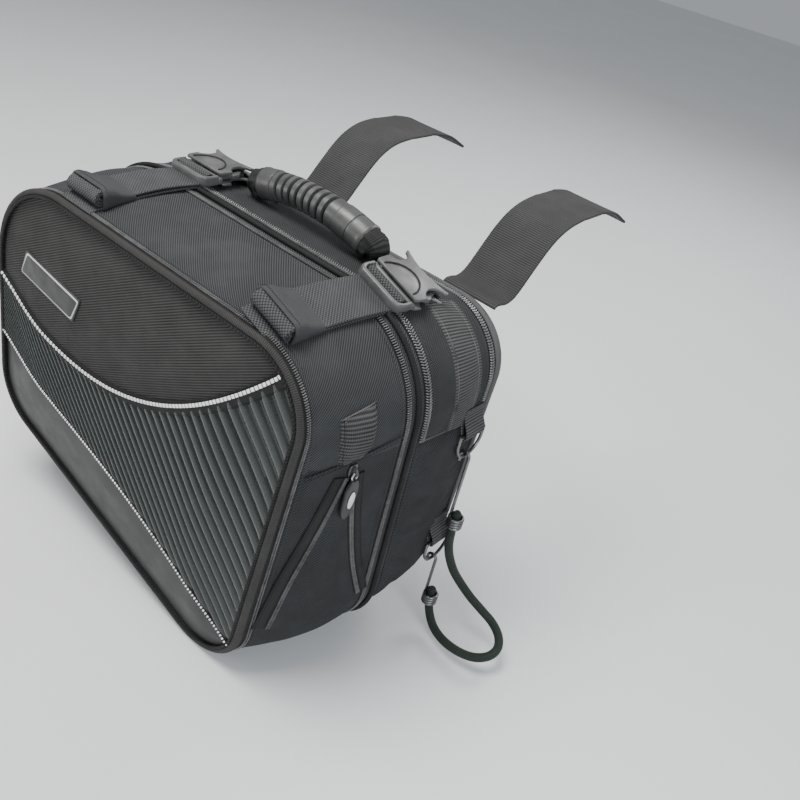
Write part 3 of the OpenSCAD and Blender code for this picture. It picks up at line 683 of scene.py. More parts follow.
def seam_rows(y0, y1, spacing=3.2 * MM):
    """Depths across a panel, with a folded and stitched edge at each seam, and their height."""
    ys = [y0 - d for d, _ in ROLL]
    heights = [h for _, h in ROLL]
    inner = np.linspace(y0 - ROLL[-1][0], y1 + ROLL[-1][0],
                        max(3, int((y0 - y1 - 2 * ROLL[-1][0]) / spacing) + 2))[1:-1]
    ys += list(inner) + [y1 + d for d, _ in ROLL[::-1]]
    heights += [0.3 * MM] * len(inner) + [h for _, h in ROLL[::-1]]
    return np.array(ys), np.array(heights)


def finish_trim(piece, body, node, sharp=38):
    """Makes a piece that rides on one body and stands for one CAD node."""
    obj = piece.make(sharp)
    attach(obj, body)
    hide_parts(node)
    return obj


CLOTH_PRESSURE = 4.0
CLOTH_GIVE = 0.02                 # share by which the cloth may stretch
CLOTH_STEPS = 20
CLOTH_CAP = 2 * MM                # furthest that a point may move


def settle(grid, normals):
    """How far cloth pinned along its edges swells out of a grid, from a cloth simulation."""
    n, m = grid.shape[:2]
    i = np.arange(n - 1)[:, None]
    j = np.arange(m - 1)[None, :]
    i2 = i + 1
    quads = np.stack([i * m + j, i * m + j + 1, i2 * m + j + 1, i2 * m + j], -1).reshape(-1, 4)
    a, b, c = (grid.reshape(-1, 3)[quads[:, k]] for k in (0, 1, 2))
    facing = (np.cross(b - a, c - a) * normals.reshape(-1, 3)[quads[:, 0]]).sum()
    mesh = bpy.data.meshes.new("settling")
    mesh.from_pydata(grid.reshape(-1, 3).tolist(), [],
                     (quads if facing > 0 else quads[:, ::-1]).tolist())
    obj = bpy.data.objects.new("settling", mesh)
    bpy.context.scene.collection.objects.link(obj)
    edge = np.zeros((n, m), bool)
    edge[:, [0, -1]] = True
    edge[[0, -1]] = True
    obj.vertex_groups.new(name="seams").add(np.where(edge.ravel())[0].tolist(), 1.0, "REPLACE")
    cloth_sim = obj.modifiers.new("cloth", "CLOTH")
    cloth_sim.settings.vertex_group_mass = "seams"
    cloth_sim.settings.quality = 6
    cloth_sim.settings.use_pressure = True
    cloth_sim.settings.uniform_pressure_force = CLOTH_PRESSURE
    cloth_sim.settings.shrink_min = -CLOTH_GIVE
    cloth_sim.settings.effector_weights.gravity = 0
    cloth_sim.point_cache.frame_start = 1
    cloth_sim.point_cache.frame_end = CLOTH_STEPS
    for step in range(1, CLOTH_STEPS + 1):
        bpy.context.scene.frame_set(step)
    shaped = obj.evaluated_get(bpy.context.evaluated_depsgraph_get()).to_mesh()
    settled = np.empty(n * m * 3)
    shaped.vertices.foreach_get("co", settled)
    bpy.data.objects.remove(obj)
    bpy.context.scene.frame_set(1)
    moved = ((settled.reshape(n, m, 3) - grid) * normals).sum(-1)
    return np.clip(moved, -CLOTH_CAP, CLOTH_CAP)


def panel(piece, shape, y0, y1, puff, wrinkle, seed, closed=False, thread=1, fold=None,
          cloth_swell=False):
    """A band of padded cloth between two seams, which puffs out and creases a little."""
    ys, rolls = seam_rows(y0, y1)
    base = np.stack([in_space(shape(y), y) for y in ys], 1)
    normals = np.stack([outward(shape, y) for y in ys], 1)
    share = (ys - y0) / (y1 - y0)
    fade = np.sin(np.pi * np.clip(share, 0, 1)) ** 0.7
    creases = rumple(base * np.array([1, 0.45, 1]), 22, seed) + 0.4 * rumple(base, 55, seed + 3)
    height = rolls + fade * (puff + wrinkle * creases)
    if fold is not None:
        height = height + fold(base, fade)
    if cloth_swell:
        inner = slice(len(ROLL) - 1, len(ys) - len(ROLL) + 1)
        grid = base[:, inner] + normals[:, inner] * height[:, inner, None]
        height[:, inner] += settle(grid, normals[:, inner])
    if not closed:
        ends = np.minimum(np.arange(len(base)), np.arange(len(base))[::-1])
        height = height * smooth(-1, 4, ends)[:, None]
    outer = base + normals * height[..., None]
    inner = base - normals * FABRIC
    piece.sweep(np.concatenate([outer, inner[:, ::-1]], 1), closed)
    if thread:
        for y, side in ((y0, -1), (y1, 1)):
            line, up = rim(shape, y + side * 3.8 * MM, 0.05 * MM)
            stitches(piece, line, up, thread, closed=closed)


def make_rear_gusset():
    piece = Piece("rear_gusset_cloth", "rear_fabric", "dark_thread", "zip_tape")
    panel(piece, upper, -12.9 * MM, -80.8 * MM, 1.6 * MM, 1.1 * MM, 1)
    strip(piece, upper, -5.0 * MM, -13.2 * MM, -0.3 * MM, slot=2)
    obj = finish_trim(piece, "back_shell", "rear_gusset")


def strip(piece, shape, y0, y1, out, slot=0, closed=False, thick=2.4 * MM):
    """A plain flat band."""
    columns = [rim(shape, y, h)[0] for y, h in
               ((y0, out), ((y0 + y1) / 2, out), (y1, out), (y1, out - thick), (y0, out - thick))]
    piece.sweep(np.stack(columns, 1), closed, slot)


def make_lower_boot():
    piece = Piece("lower_boot_cloth", "boot_twill", "dark_thread", "pale_binding")
    panel(piece, lower, -5.2 * MM, -88.3 * MM, 1.4 * MM, 1.5 * MM, 2, cloth_swell=True)
    for edge in (1, 3):
        line = np.array([[edge_point(y, edge, SEAM_Z, 0)[0], y, SEAM_Z] for y in
                         np.linspace(-8 * MM, -87 * MM, 30)])
        out = 1 if edge == 1 else -1
        line[:, 0] += out * 0.4 * MM
        piece.sweep(tube(line, 0.9 * MM, 8), slot=2)
        below = line + np.array([out * 0.5 * MM, 0, -4 * MM])
        stitches(piece, below, np.tile([out, 0.0, 0.0], (len(below), 1)), 1)
    obj = piece.make()
    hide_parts("lower_boot")
    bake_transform(obj)


def make_mid_band():
    piece = Piece("mid_band_cloth", "top_fabric", "dark_thread")
    panel(piece, ring, -88.8 * MM, -102.8 * MM, 0.4 * MM, 0.2 * MM, 3, closed=True, thread=0)
    finish_trim(piece, "lid", "mid_band")


GUSSET_SEAM_Z = 62 * MM


def make_outer_gusset():
    piece = Piece("outer_gusset_cloth", "top_fabric", "dark_thread", "boot_twill")

    def pull_in(base, fade):
        """The cloth is drawn in a little under each buckled strap."""
        under = sum(np.exp(-((base[..., 0] - x) / (30 * MM)) ** 2) for x in STRAP_X.values())
        return -1.2 * MM * fade * under * (base[..., 2] > 0.1)

    panel(piece, ring, -108.3 * MM, -196.8 * MM, 2.2 * MM, 1.7 * MM, 5, closed=True,
          fold=pull_in)
    points = np.vstack(piece.points)
    piece.slots = [2 if slot == 0 and points[face[0]][2] < GUSSET_SEAM_Z else slot
                   for face, slot in zip(piece.faces, piece.slots)]
    heights = np.linspace(GUSSET_SEAM_Z - 5 * MM, GUSSET_SEAM_Z + 9 * MM, 40)
    seam, normals = on_side(np.stack([np.linspace(-195, -110, 40) * MM, heights], 1), 3.2 * MM)
    piece.sweep(tube(seam, 0.8 * MM, 8, 1.0, (0, 0, 1)), slot=2)
    stitches(piece, seam - np.array([0, 0, 3 * MM]), normals, 1)
    obj = finish_trim(piece, "outer_shell", "outer_gusset")


# ---------------------------------------------------------------- zips
def zip_half(name, node, body, shape, closed, tape, teeth_y, tooth, pitch, slant, lift):
    """Half a zip: a flat tape and a row of coil turns along its free edge."""
    piece = Piece(name, "zip_tape", "zip_coil")
    strip(piece, shape, tape[0], tape[1], 0.1 * MM, closed=closed)
    points, faces = pill(*tooth)
    line, normals = rim(shape, teeth_y, lift)
    origins, axes = stations(line, normals, pitch, closed)
    piece.scatter(turned(points, 90 + slant), faces, origins, axes, 1)
    obj = finish_trim(piece, body, node)
    return obj


def make_zips():
    big = mm(3.5, 1.4, 2.2)
    fine = mm(2.1, 1.05, 1.7)
    edge = mm(1.6, 1.05, 1.5)
    zip_half("main_zip_inner_half", "main_zip_inner", "back_shell", upper, False,
             mm(-80.6, -84.7), -83.1 * MM, big, 2.3 * MM, 30, 1.0 * MM)
    zip_half("main_zip_outer_half", "main_zip_outer", "lid", upper, False,
             mm(-84.9, -89.0), -86.5 * MM, big, 2.3 * MM, -30, 1.0 * MM)
    zip_half("expansion_zip_inner_half", "expansion_zip_inner", "lid", ring, True,
             mm(-102.6, -105.4), -104.4 * MM, fine, 2.0 * MM, 6, 1.1 * MM)
    zip_half("expansion_zip_outer_half", "expansion_zip_outer", "outer_shell", ring, True,
             mm(-105.6, -108.4), -106.6 * MM, fine, 2.0 * MM, -6, 1.1 * MM)
    zip_half("front_zip_inner_half", "front_zip_inner", "outer_shell", ring, True,
             mm(-196.6, -199.7), -198.9 * MM, edge, 1.9 * MM, 6, 1.0 * MM)
    zip_half("front_zip_outer_half", "front_zip_outer", "front_panel", ring, True,
             mm(-199.95, -204.6), -200.7 * MM, edge, 1.9 * MM, -6, 1.0 * MM)
    make_cover_zip()


def make_cover_zip():
    piece = Piece("cover_zip_coil", "zip_tape", "zip_coil")
    points, faces = pill(*mm(2.8, 1.9, 2.0))
    for y, slant in ((-9.0 * MM, 20), (-11.5 * MM, -20)):
        line, normals = rim(upper, y, 0.9 * MM)
        origins, axes = stations(line, normals, 2.3 * MM)
        piece.scatter(turned(points, 90 + slant), faces, origins, axes, 1)
    finish_trim(piece, "back_shell", "cover_zip")


# ---------------------------------------------------------------- back, bindings, piping
def make_back_panel():
    piece = Piece("back_panel_cloth", "back_fabric", "thread")
    centre = ring(0).mean(0)
    stops = [(0.004, -0.2), (0.12, -0.2), (0.3, -0.25), (0.5, -0.3), (0.7, -0.35), (0.86, -0.3),
             (0.93, -0.5), (0.965, -0.9), (0.985, -0.3), (1.0, -0.6), (1.0, -4.8), (0.6, -4.8),
             (0.2, -4.8), (0.004, -4.8)]
    columns = [in_space(centre + (ring(0, 1.2 * MM) - centre) * s, y * MM) for s, y in stops]
    piece.sweep(np.stack(columns, 1), True, round_section=False, flat_axes=(0, 2))
    for inset in (9 * MM, 12 * MM):
        line = in_space(ring(0, inset), -0.1 * MM)
        stitches(piece, line, np.tile([0.0, 1.0, 0.0], (len(line), 1)), 1, closed=True)
    obj = finish_trim(piece, "back_shell", "back_panel")


def make_cords_round_the_bag():
    piece = Piece("back_binding_cord", "pale_binding")
    piece.sweep(circle_section(ring, -3.7 * MM, 1.75 * MM, 1.5 * MM, 14, 1.85), True)
    finish_trim(piece, "back_shell", "back_binding")
    piece = Piece("mid_piping_cord", "binding")
    piece.sweep(circle_section(ring, -97 * MM, 2.2 * MM, 2.3 * MM, 14), True)
    finish_trim(piece, "lid", "mid_piping")
    piece = Piece("front_piping_cord", "piping_cloth", "braid")
    piece.sweep(circle_section(ring, -207.0 * MM, 2.6 * MM, 0.5 * MM, 16), True)
    piece.sweep(circle_section(ring, -208.9 * MM, 1.5 * MM, -2.8 * MM, 10), True, 1)
    piece.sweep(circle_section(ring, -204.3 * MM, 0.7 * MM, 0.6 * MM, 8), True, 1)
    finish_trim(piece, "front_panel", "front_piping")


def make_side_webbing():
    piece = Piece("side_webbing_strips", "side_webbing", "thread")
    cut = 5

    def front(y, inset=0.0):
        return np.vstack([corner_arc(y, 1, inset)[cut:], between(
            corner_arc(y, 1, inset)[-1], edge_point(y, 1, SEAM_Z, inset), 12),
            edge_point(y, 1, SEAM_Z, inset)])

    def rear(y, inset=0.0):
        return np.vstack([edge_point(y, 3, SEAM_Z, inset), between(
            edge_point(y, 3, SEAM_Z, inset), corner_arc(y, 0, inset)[0], 12),
            corner_arc(y, 0, inset)[:-cut]])

    for shape in (front, rear):
        rows = [(-24, 1.2), (-24.6, 2.2), (-27, 2.3), (-28, 2.0), (-29, 2.3), (-34, 2.9),
                (-40, 3.1), (-46, 2.9), (-51, 2.3), (-52, 2.0), (-53, 2.3), (-55.4, 2.2),
                (-56, 1.2), (-56, 0.2), (-40, 0.2), (-24, 0.2)]
        piece.sweep(np.stack([rim(shape, y * MM, h * MM)[0] for y, h in rows], 1))
        for y in (-28, -52):
            line, normals = rim(shape, y * MM, 2.1 * MM)
            stitches(piece, line, normals, 1, pitch=2.6 * MM)
    finish_trim(piece, "back_shell", "side_webbing")


def make_inside():
    """The pocket wall and the stiff board behind the front panel."""
    for name, node, body, y0, y1, inset, look, slot in (
            ("pocket_wall_sheet", "pocket_wall", "outer_shell", -150.2, -151.8, 4.2,
             "back_fabric", "back_fabric"),
            ("front_board_sheet", "front_board", "front_panel", -202.4, -204.8, 3.6,
             "board", "board")):
        piece = Piece(name, look)
        y0, y1, inset = y0 * MM, y1 * MM, inset * MM
        outline = ring(y1, inset)
        centre = outline.mean(0)
        stops = [(0.004, y0), (0.3, y0), (0.7, y0), (0.97, y0), (1.0, y0 - 0.4 * MM),
                 (1.0, y1 + 0.4 * MM), (0.97, y1), (0.7, y1), (0.3, y1), (0.004, y1)]
        columns = [in_space(centre + (outline - centre) * s, y) for s, y in stops]
        piece.sweep(np.stack(columns, 1), True, round_section=False, flat_axes=(0, 2))
        finish_trim(piece, body, node)


def make_bellows():
    """The expansion fabric, folded in pleats behind its zip."""
    piece = Piece("expansion_bellows_cloth", "boot_twill")
    rows = []
    for k, y in enumerate(np.linspace(-99 * MM, -115 * MM, 9)):
        rows.append((y, (-3.9 if k % 2 else -5.4) * MM))
    columns = [rim(ring, y, out)[0] for y, out in rows]
    columns += [rim(ring, y, out - 1.2 * MM)[0] for y, out in rows[::-1]]
    piece.sweep(np.stack(columns, 1), True)
    obj = piece.make()
    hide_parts("expansion_bellows")
    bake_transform(obj)


def make_hinge_fabric():
    """Cloth along the rear edge, where the front panel folds instead of unzipping."""
    def rear_edge(y, inset=0.0):
        heights = np.linspace(-58, 66, 42) * MM
        return np.array([edge_point(y, 3, z, inset) for z in heights])

    piece = Piece("front_hinge_cloth", "top_fabric", "dark_thread")
    rows = [(-195.4, 1.2), (-196, 2.5), (-198, 3.0), (-199.6, 3.3), (-200.6, 3.4),
            (-201.6, 3.3), (-203, 3.1), (-205, 3.4), (-205.6, 2.0), (-204.6, 1.6),
            (-200.6, 2.2), (-196.4, 1.6)]
    columns = [in_space(rear_edge(y * MM), y * MM) - np.array([out * MM, 0, 0])
               for y, out in rows]
    piece.sweep(np.stack(columns, 1))
    seam = columns[2] - np.array([0.1 * MM, 0, 0])
    stitches(piece, seam, np.tile([-1.0, 0, 0], (len(seam), 1)), 1)
    obj = piece.make()
    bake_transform(obj)


# ---------------------------------------------------------------- front panel
FACE_Y = -206.6 * MM
CROWN = 5.5 * MM
FACE_INSET = 2.2 * MM


def cubic(p, t):
    t = np.asarray(t)[:, None]
    return ((1 - t) ** 3 * p[0] + 3 * t * (1 - t) ** 2 * p[1] + 3 * t * t * (1 - t) * p[2]
            + t ** 3 * p[3])


def resample(line, count):
    steps = np.linalg.norm(np.diff(line, axis=0), axis=1)
    length = np.concatenate([[0], np.cumsum(steps)])
    at = np.linspace(0, length[-1], count)
    return np.stack([np.interp(at, length, line[:, k]) for k in range(line.shape[1])], 1)


def distance_to(points, line):
    """Distance from each point of a grid to the nearest part of a closed line."""
    flat = points.reshape(-1, 2)
    a, b = line, np.roll(line, -1, 0)
    d = b - a
    best = np.full(len(flat), 1.0)
    for start, step in zip(a, d):
        t = np.clip(((flat - start) @ step) / max(step @ step, 1e-12), 0, 1)
        best = np.minimum(best, np.linalg.norm(flat - start - t[:, None] * step, axis=1))
    return best.reshape(points.shape[:-1])


def inside(points, line):
    """Whether each point lies inside a closed line."""
    hits = np.zeros(len(points), int)
    for a, b in zip(line, np.roll(line, -1, 0)):
        crosses = (a[1] > points[:, 1]) != (b[1] > points[:, 1])
        rise = b[1] - a[1] if abs(b[1] - a[1]) > 1e-12 else 1e-12
        x = a[0] + (points[:, 1] - a[1]) / rise * (b[0] - a[0])
        hits += crosses & (points[:, 0] < x)
    return hits % 2 == 1


class Face:
    """The front panel's outline and the two curves that divide it."""

    def __init__(self):
        self.outline = ring(-207 * MM, FACE_INSET)
        self.coarse = self.outline[::3]
        self.upper, self.top_left, self.top_right = self.clip(UPPER_LINE)
        self.lower, self.low_left, self.low_right = self.clip(LOWER_LINE)

    def clip(self, control):
        line = cubic(control, np.linspace(-0.04, 1.04, 400))
        line = line[inside(line, self.outline)]
        first = int(np.argmin(np.linalg.norm(self.outline - line[0], axis=1)))
        last = int(np.argmin(np.linalg.norm(self.outline - line[-1], axis=1)))
        return np.vstack([self.outline[first], line[2:-2], self.outline[last]]), first, last

    def stretch(self, first, last):
        """The outline from one of its points on to another."""
        last = last if last > first else last + len(self.outline)
        return self.outline[np.arange(first, last + 1) % len(self.outline)]

    def depth(self, points):
        """How far out the face stands at each point of a grid."""
        return -FACE_Y + CROWN * smooth(0, 80 * MM, distance_to(points, self.coarse))


def lay(face, points, extra):
    """Flat points of the face as points in space, standing out by extra."""
    out = face.depth(points) + extra
    return np.stack([points[..., 0], -out, points[..., 1]], -1)


def ruled(bottom, top, rows):
    t = np.linspace(0, 1, rows)[None, :, None]
    return bottom[:, None] * (1 - t) + top[:, None] * t


def padded_region(name, node, look, face, grid, border, puff, seed):
    piece = Piece(name, look, "dark_thread")
    depth = distance_to(grid, border)
    swell = puff * smooth(0, 26 * MM, depth) - 0.5 * MM * (1 - smooth(0, 3 * MM, depth))
    front = lay(face, grid, swell)
    front[..., 1] -= 0.5 * MM * rumple(front, 18, seed) * smooth(0, 30 * MM, depth)
    back = lay(face, grid, 0)
    back[..., 1] = -205.2 * MM
    piece.slab(front, back)
    obj = finish_trim(piece, "front_panel", node)
    return obj


def make_front_upper(face):
    top = resample(face.stretch(face.top_left, face.top_right), 190)
    bottom = resample(face.upper, 190)
    border = np.vstack([bottom, top[::-1]])
    padded_region("front_upper_cloth", "front_upper", "front_fabric", face,
                  ruled(bottom, top, 46), border[::2], 2.2 * MM, 11)


def make_front_lower(face):
    bottom = resample(face.stretch(face.low_right, face.low_left), 190)[::-1]
    top = resample(face.lower, 190)
    border = np.vstack([bottom, top[::-1]])
    padded_region("front_lower_cloth", "front_lower", "front_leather", face,
                  ruled(bottom, top, 34), border[::2], 1.8 * MM, 12)


RIB_ANGLE = 51.5
RIB_PITCH = 9.3 * MM
RIB_HEIGHT = 2.7 * MM


def make_front_ribbed(face):
    """The ribs run forwards and down. They start evenly spaced along the upper line."""
    border = np.vstack([face.upper, face.stretch(face.top_right, face.low_right),
                        face.lower[::-1], face.stretch(face.low_left, face.top_left)])
    border = resample(np.vstack([border, border[:1]]), 420)[:-1]
    a = math.radians(RIB_ANGLE)
    down = np.array([math.cos(a), -math.sin(a)])
    across = np.array([math.sin(a), math.cos(a)])
    q_line, x_line = face.upper @ across, face.upper[:, 0]
    q_all = border @ across
    slope = (x_line[6] - x_line[0]) / (q_line[6] - q_line[0])
    start = x_line[0] - (q_line[0] - q_all.min()) * slope
    phases = np.arange(start / RIB_PITCH, x_line[-1] / RIB_PITCH + 3, 1 / 12)
    q_known = np.concatenate([[q_all.min()], q_line])
    x_known = np.concatenate([[start], x_line])
    rows, kept = [], []
    for phase in phases:
        q = np.interp(phase * RIB_PITCH, x_known, q_known)
        if phase * RIB_PITCH > x_line[-1]:
            q = q_line[-1] + (phase * RIB_PITCH - x_line[-1])
        ends = chord(border, across, down, q)
        if ends is not None:
            rows.append(ends[0] + (ends[1] - ends[0]) * np.linspace(0, 1, 30)[:, None])
            kept.append(phase)
    grid = np.array(rows)
    wave = np.abs(np.cos(np.pi * np.array(kept)))[:, None] ** 0.8
    edge = smooth(0, 3 * MM, distance_to(grid, border[::2]))
    front = lay(face, grid, (RIB_HEIGHT * wave + 0.2 * MM) * (0.35 + 0.65 * edge))
    back = lay(face, grid, 0)
    back[..., 1] = -205.2 * MM
    piece = Piece("front_ribbed_sheet", "ribbed_pvc")
    piece.slab(front, back)
    finish_trim(piece, "front_panel", "front_ribbed", sharp=60)


def chord(border, across, down, q):
    """The ends of the stretch of one rib's line that lies inside a closed border."""
    side = border @ across - q
    following = np.roll(side, -1)
    crossing = np.where((side > 0) != (following > 0))[0]
    if len(crossing) < 2:
        return None
    nexts = np.roll(border, -1, 0)
    t = side[crossing] / (side[crossing] - following[crossing])
    hits = border[crossing] + (nexts[crossing] - border[crossing]) * t[:, None]
    order = np.argsort(hits @ down)
    first, last = hits[order[0]], hits[order[-1]]
    return (first, last) if np.linalg.norm(last - first) > 2 * MM else None


def make_reflective_lines(face):
    """Each dividing seam is a dark ribbon with a row of reflective beads along it."""
    ribbons = Piece("seam_ribbons", "binding", "dark_thread")
    beads = Piece("reflective_beads", "reflective")
    for line, low, high, bead, pitch in (
            (face.upper, -9.0, 3.6, mm(2.6, 3.0, 1.3), 4.4 * MM),
            (face.lower, -3.4, 3.0, mm(1.7, 1.9, 1.1), 3.2 * MM)):
        line = resample(line, 260)
        along = unit(np.gradient(line, axis=0))
        side = np.stack([-along[:, 1], along[:, 0]], 1)
        stops = [(low, 0.4), (low + 0.6, 2.5), (low * 0.5, 2.8), (0, 2.8), (high * 0.5, 2.6),
                 (high - 0.6, 2.2), (high, 0.4), (high, -1.2), (low, -1.2)]
        columns = [lay(face, line + side * a * MM, h * MM) for a, h in stops]
        ribbons.sweep(np.stack(columns, 1))
        crest = lay(face, line, 3.1 * MM)
        up = np.tile([0.0, -1.0, 0.0], (len(crest), 1))
        origins, axes = stations(crest, up, pitch)
        points, faces = block_bead(*bead)
        beads.scatter(points, faces, origins, axes)
        for a in (low + 1.6, high - 1.2):
            stitches(ribbons, lay(face, line + side * a * MM, 2.7 * MM), up, 1, 2.6 * MM)
    ribbon = ribbons.make()
    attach(ribbon, "front_panel")
    finish_trim(beads, "front_panel", "reflective_lines")


def block_bead(length, width, height):
    """A small square bead with bevelled edges."""
    rings = [(0.5, -0.5), (0.5, 0.1), (0.36, 0.5)]
    points = [(a * r * 2 * length, b * r * 2 * width, h * height)
              for r, h in rings for a, b in ((-0.5, -0.5), (0.5, -0.5), (0.5, 0.5), (-0.5, 0.5))]
    return np.array(points), sweep_faces(len(rings), 4)


def pressed(outlines, thickness, bevel):
    """Points and faces of a flat moulding with rounded edges, from closed outlines."""
    curve = bpy.data.curves.new("pressed", "CURVE")
    curve.dimensions = "2D"
    curve.fill_mode = "BOTH"
    curve.extrude = max(thickness / 2 - bevel, 0)
    curve.bevel_depth = bevel
    curve.bevel_resolution = 2
    curve.offset = -bevel
    for outline in outlines:
        loop = curve.splines.new("POLY")
        loop.points.add(len(outline) - 1)
        loop.use_cyclic_u = True
        for point, (x, y) in zip(loop.points, outline):
            point.co = (x, y, 0, 1)
    obj = bpy.data.objects.new("pressed", curve)
    bpy.context.scene.collection.objects.link(obj)
    bpy.context.view_layer.update()
    mesh = bpy.data.meshes.new_from_object(obj.evaluated_get(
        bpy.context.evaluated_depsgraph_get()))
    work = bmesh.new()
    work.from_mesh(mesh)
    bmesh.ops.remove_doubles(work, verts=work.verts, dist=1e-6)
    bmesh.ops.recalc_face_normals(work, faces=work.faces)
    points = np.array([v.co for v in work.verts])
    faces = [tuple(v.index for v in f.verts) for f in work.faces]
    work.free()
    bpy.data.objects.remove(obj)
    bpy.data.curves.remove(curve)
    bpy.data.meshes.remove(mesh)
    return points, faces


def rounded(corners, radius, steps=5):
    """An outline with its corners rounded."""
    corners = np.asarray(corners, float)
    t = np.linspace(0, 1, steps)[:, None]
    rows = []
    for before, here, after in zip(np.roll(corners, 1, 0), corners, np.roll(corners, -1, 0)):
        reach = min(radius, np.linalg.norm(before - here) / 2, np.linalg.norm(after - here) / 2)
        a, b = here + unit(before - here) * reach, here + unit(after - here) * reach
        rows.append((1 - t) ** 2 * a + 2 * t * (1 - t) * here + t * t * b)
    return np.vstack(rows)


def block(w, y0, y1):
    return [(-w / 2, y0), (w / 2, y0), (w / 2, y1), (-w / 2, y1)]


def make_badge(face):
    """A blank moulded badge with a slanted end and a pale rim."""
    centre, size, slant = mm(-105, 72), mm(92, 26), 8 * MM
    a = math.radians(-5)
    x_axis, z_axis = np.array([math.cos(a), math.sin(a)]), np.array([-math.sin(a), math.cos(a)])
    half = size / 2
    piece = Piece("badge_moulding", "badge_rubber", "badge_rim")
    for shrink, low, high, slot in ((0, 0, 1.6, 0), (1.6 * MM, 0.9, 1.9, 1), (3.0 * MM, 1.2, 2.2, 0)):
        w, h = half[0] - shrink, half[1] - shrink
        outline = rounded([(-w, -h), (w - slant, -h), (w, h), (-w + slant, h)], 3 * MM)
        points, faces = pressed([outline], (high - low) * MM, 0.4 * MM)
        flat = centre + points[:, :1] * x_axis + points[:, 1:2] * z_axis
        height = 2.2 * MM + points[:, 2] + (low + high) / 2 * MM
        piece.add(lay(face, flat, height), faces, slot=slot)
    finish_trim(piece, "front_panel", "badge", sharp=30)


# ---------------------------------------------------------------- straps and buckles
BUCKLE_GAP = 4.6 * MM
PLUG_HEIGHT = 6.5 * MM            # middle of the buckle above its underside
FRONT_LEAN = math.radians(14)     # how much more the front strap leans than the bag's top
BUCKLE_SHARE = 0.83               # width of the moulding against the 58 mm it is drawn at
STRAP_START_Y = -165 * MM         # where a strap's drift starts
STRAP_LEVEL_Y = -70 * MM          # depth at which the bag's top sets a strap's height


def tilt_axes(x):
    """Across and up axes of the buckle over the bag's top at x."""
    fall = top_z(x - 20 * MM, STRAP_LEVEL_Y) - top_z(x + 20 * MM, STRAP_LEVEL_Y)
    a = math.atan2(fall, 40 * MM) + (FRONT_LEAN if x > 0 else 0)
    return np.array([math.cos(a), 0, -math.sin(a)]), np.array([math.sin(a), 0, math.cos(a)])


def drift(x, y):
    return STRAP_DRIFT * (y - STRAP_START_Y) * (x > 0)


def on_strap(x, across, y, height):
    """A point by its place across the strap, its depth and its height over the bag's top."""
    side, up = tilt_axes(x)
    base = np.array([x, 0, top_z(x, STRAP_LEVEL_Y)])
    rise = top_z(x, min(y, -8 * MM)) - top_z(x, STRAP_LEVEL_Y)
    return base + side * (across + drift(x, y)) + up * (height + rise) + np.array([0, y, 0])


def at_buckle(x, points):
    side, up = tilt_axes(x)
    origin = np.array([x, 0, top_z(x, STRAP_LEVEL_Y)]) + up * BUCKLE_GAP
    across = points[:, :1] * BUCKLE_SHARE + drift(x, points[:, 1:2])
    return origin + across * side + points[:, 1:2] * np.array([0, 1, 0]) + points[:, 2:] * up


WEB_EDGE = [(-0.5, -0.2), (-0.485, -0.5), (-0.3, -0.42), (0, -0.4), (0.3, -0.42), (0.485, -0.5),
            (0.5, -0.2), (0.5, 0.2), (0.485, 0.5), (0.3, 0.42), (0, 0.4), (-0.3, 0.42),
            (-0.485, 0.5), (-0.5, 0.2)]


def webbing(line, across, width, thickness):
    """Sections of flat webbing along a line. across is the direction of its width."""
    line = np.asarray(line, float)
    along = unit(np.gradient(line, axis=0))
    across = np.broadcast_to(across, line.shape)
    up = unit(np.cross(along, across))
    return np.stack([line + across * a * width + up * b * thickness for a, b in WEB_EDGE], 1)


def strap_route():
    """The strap's middle line as depth and height: sewn end, bar, and the rolled tail."""
    bar_y, bar_h, bar_r = -85 * MM, BUCKLE_GAP + PLUG_HEIGHT, 3.3 * MM
    low = mm([-202, 0.4], [-197, 1.6], [-186, 2.0], [-165, 2.8], [-140, 3.4], [-115, 3.6],
             [-100, 3.6], [-94, 3.8], [-89, 5.4])
    wrap = [(bar_y + bar_r * math.sin(a), bar_h - bar_r * math.cos(a))
            for a in np.linspace(0.1, 1.36 * math.pi, 11)]
    high = mm([-91, 8.4], [-95, 6.1], [-101, 6.0], [-112, 6.4], [-130, 6.9], [-150, 6.6],
              [-168, 6.0], [-180, 5.2])
    roll_y, roll_h, turns = -191 * MM, 10.8 * MM, 2.3
    roll = []
    for a in np.linspace(0, turns * 2 * math.pi, 66):
        r = 6.3 * MM - 2.1 * MM * a / (2 * math.pi)
        roll.append((roll_y - r * math.sin(a), roll_h - r * math.cos(a)))
    return np.vstack([spline(np.vstack([low, wrap, high]), 6), np.array(roll)])


def make_compression_straps():
    first = True
    for end, x in STRAP_X.items():
        side, _ = tilt_axes(x)
        line = np.array([on_strap(x, 0, y, h) for y, h in strap_route()])
        piece = Piece(f"compression_strap_{end}", "webbing", "thread")
        piece.sweep(webbing(line, side, STRAP_W - 1 * MM, STRAP_T))
        for y in (-199 * MM, -190 * MM):
            seam = np.array([on_strap(x, a * MM, y, 2.9 * MM if y > -0.195 else 1.9 * MM)
                             for a in range(-16, 17, 4)])
            stitches(piece, seam, np.tile(tilt_axes(x)[1], (len(seam), 1)), 1, 2.6 * MM)
        obj = piece.make()
        if first:
            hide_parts("compression_straps")
        first = False
        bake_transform(obj)


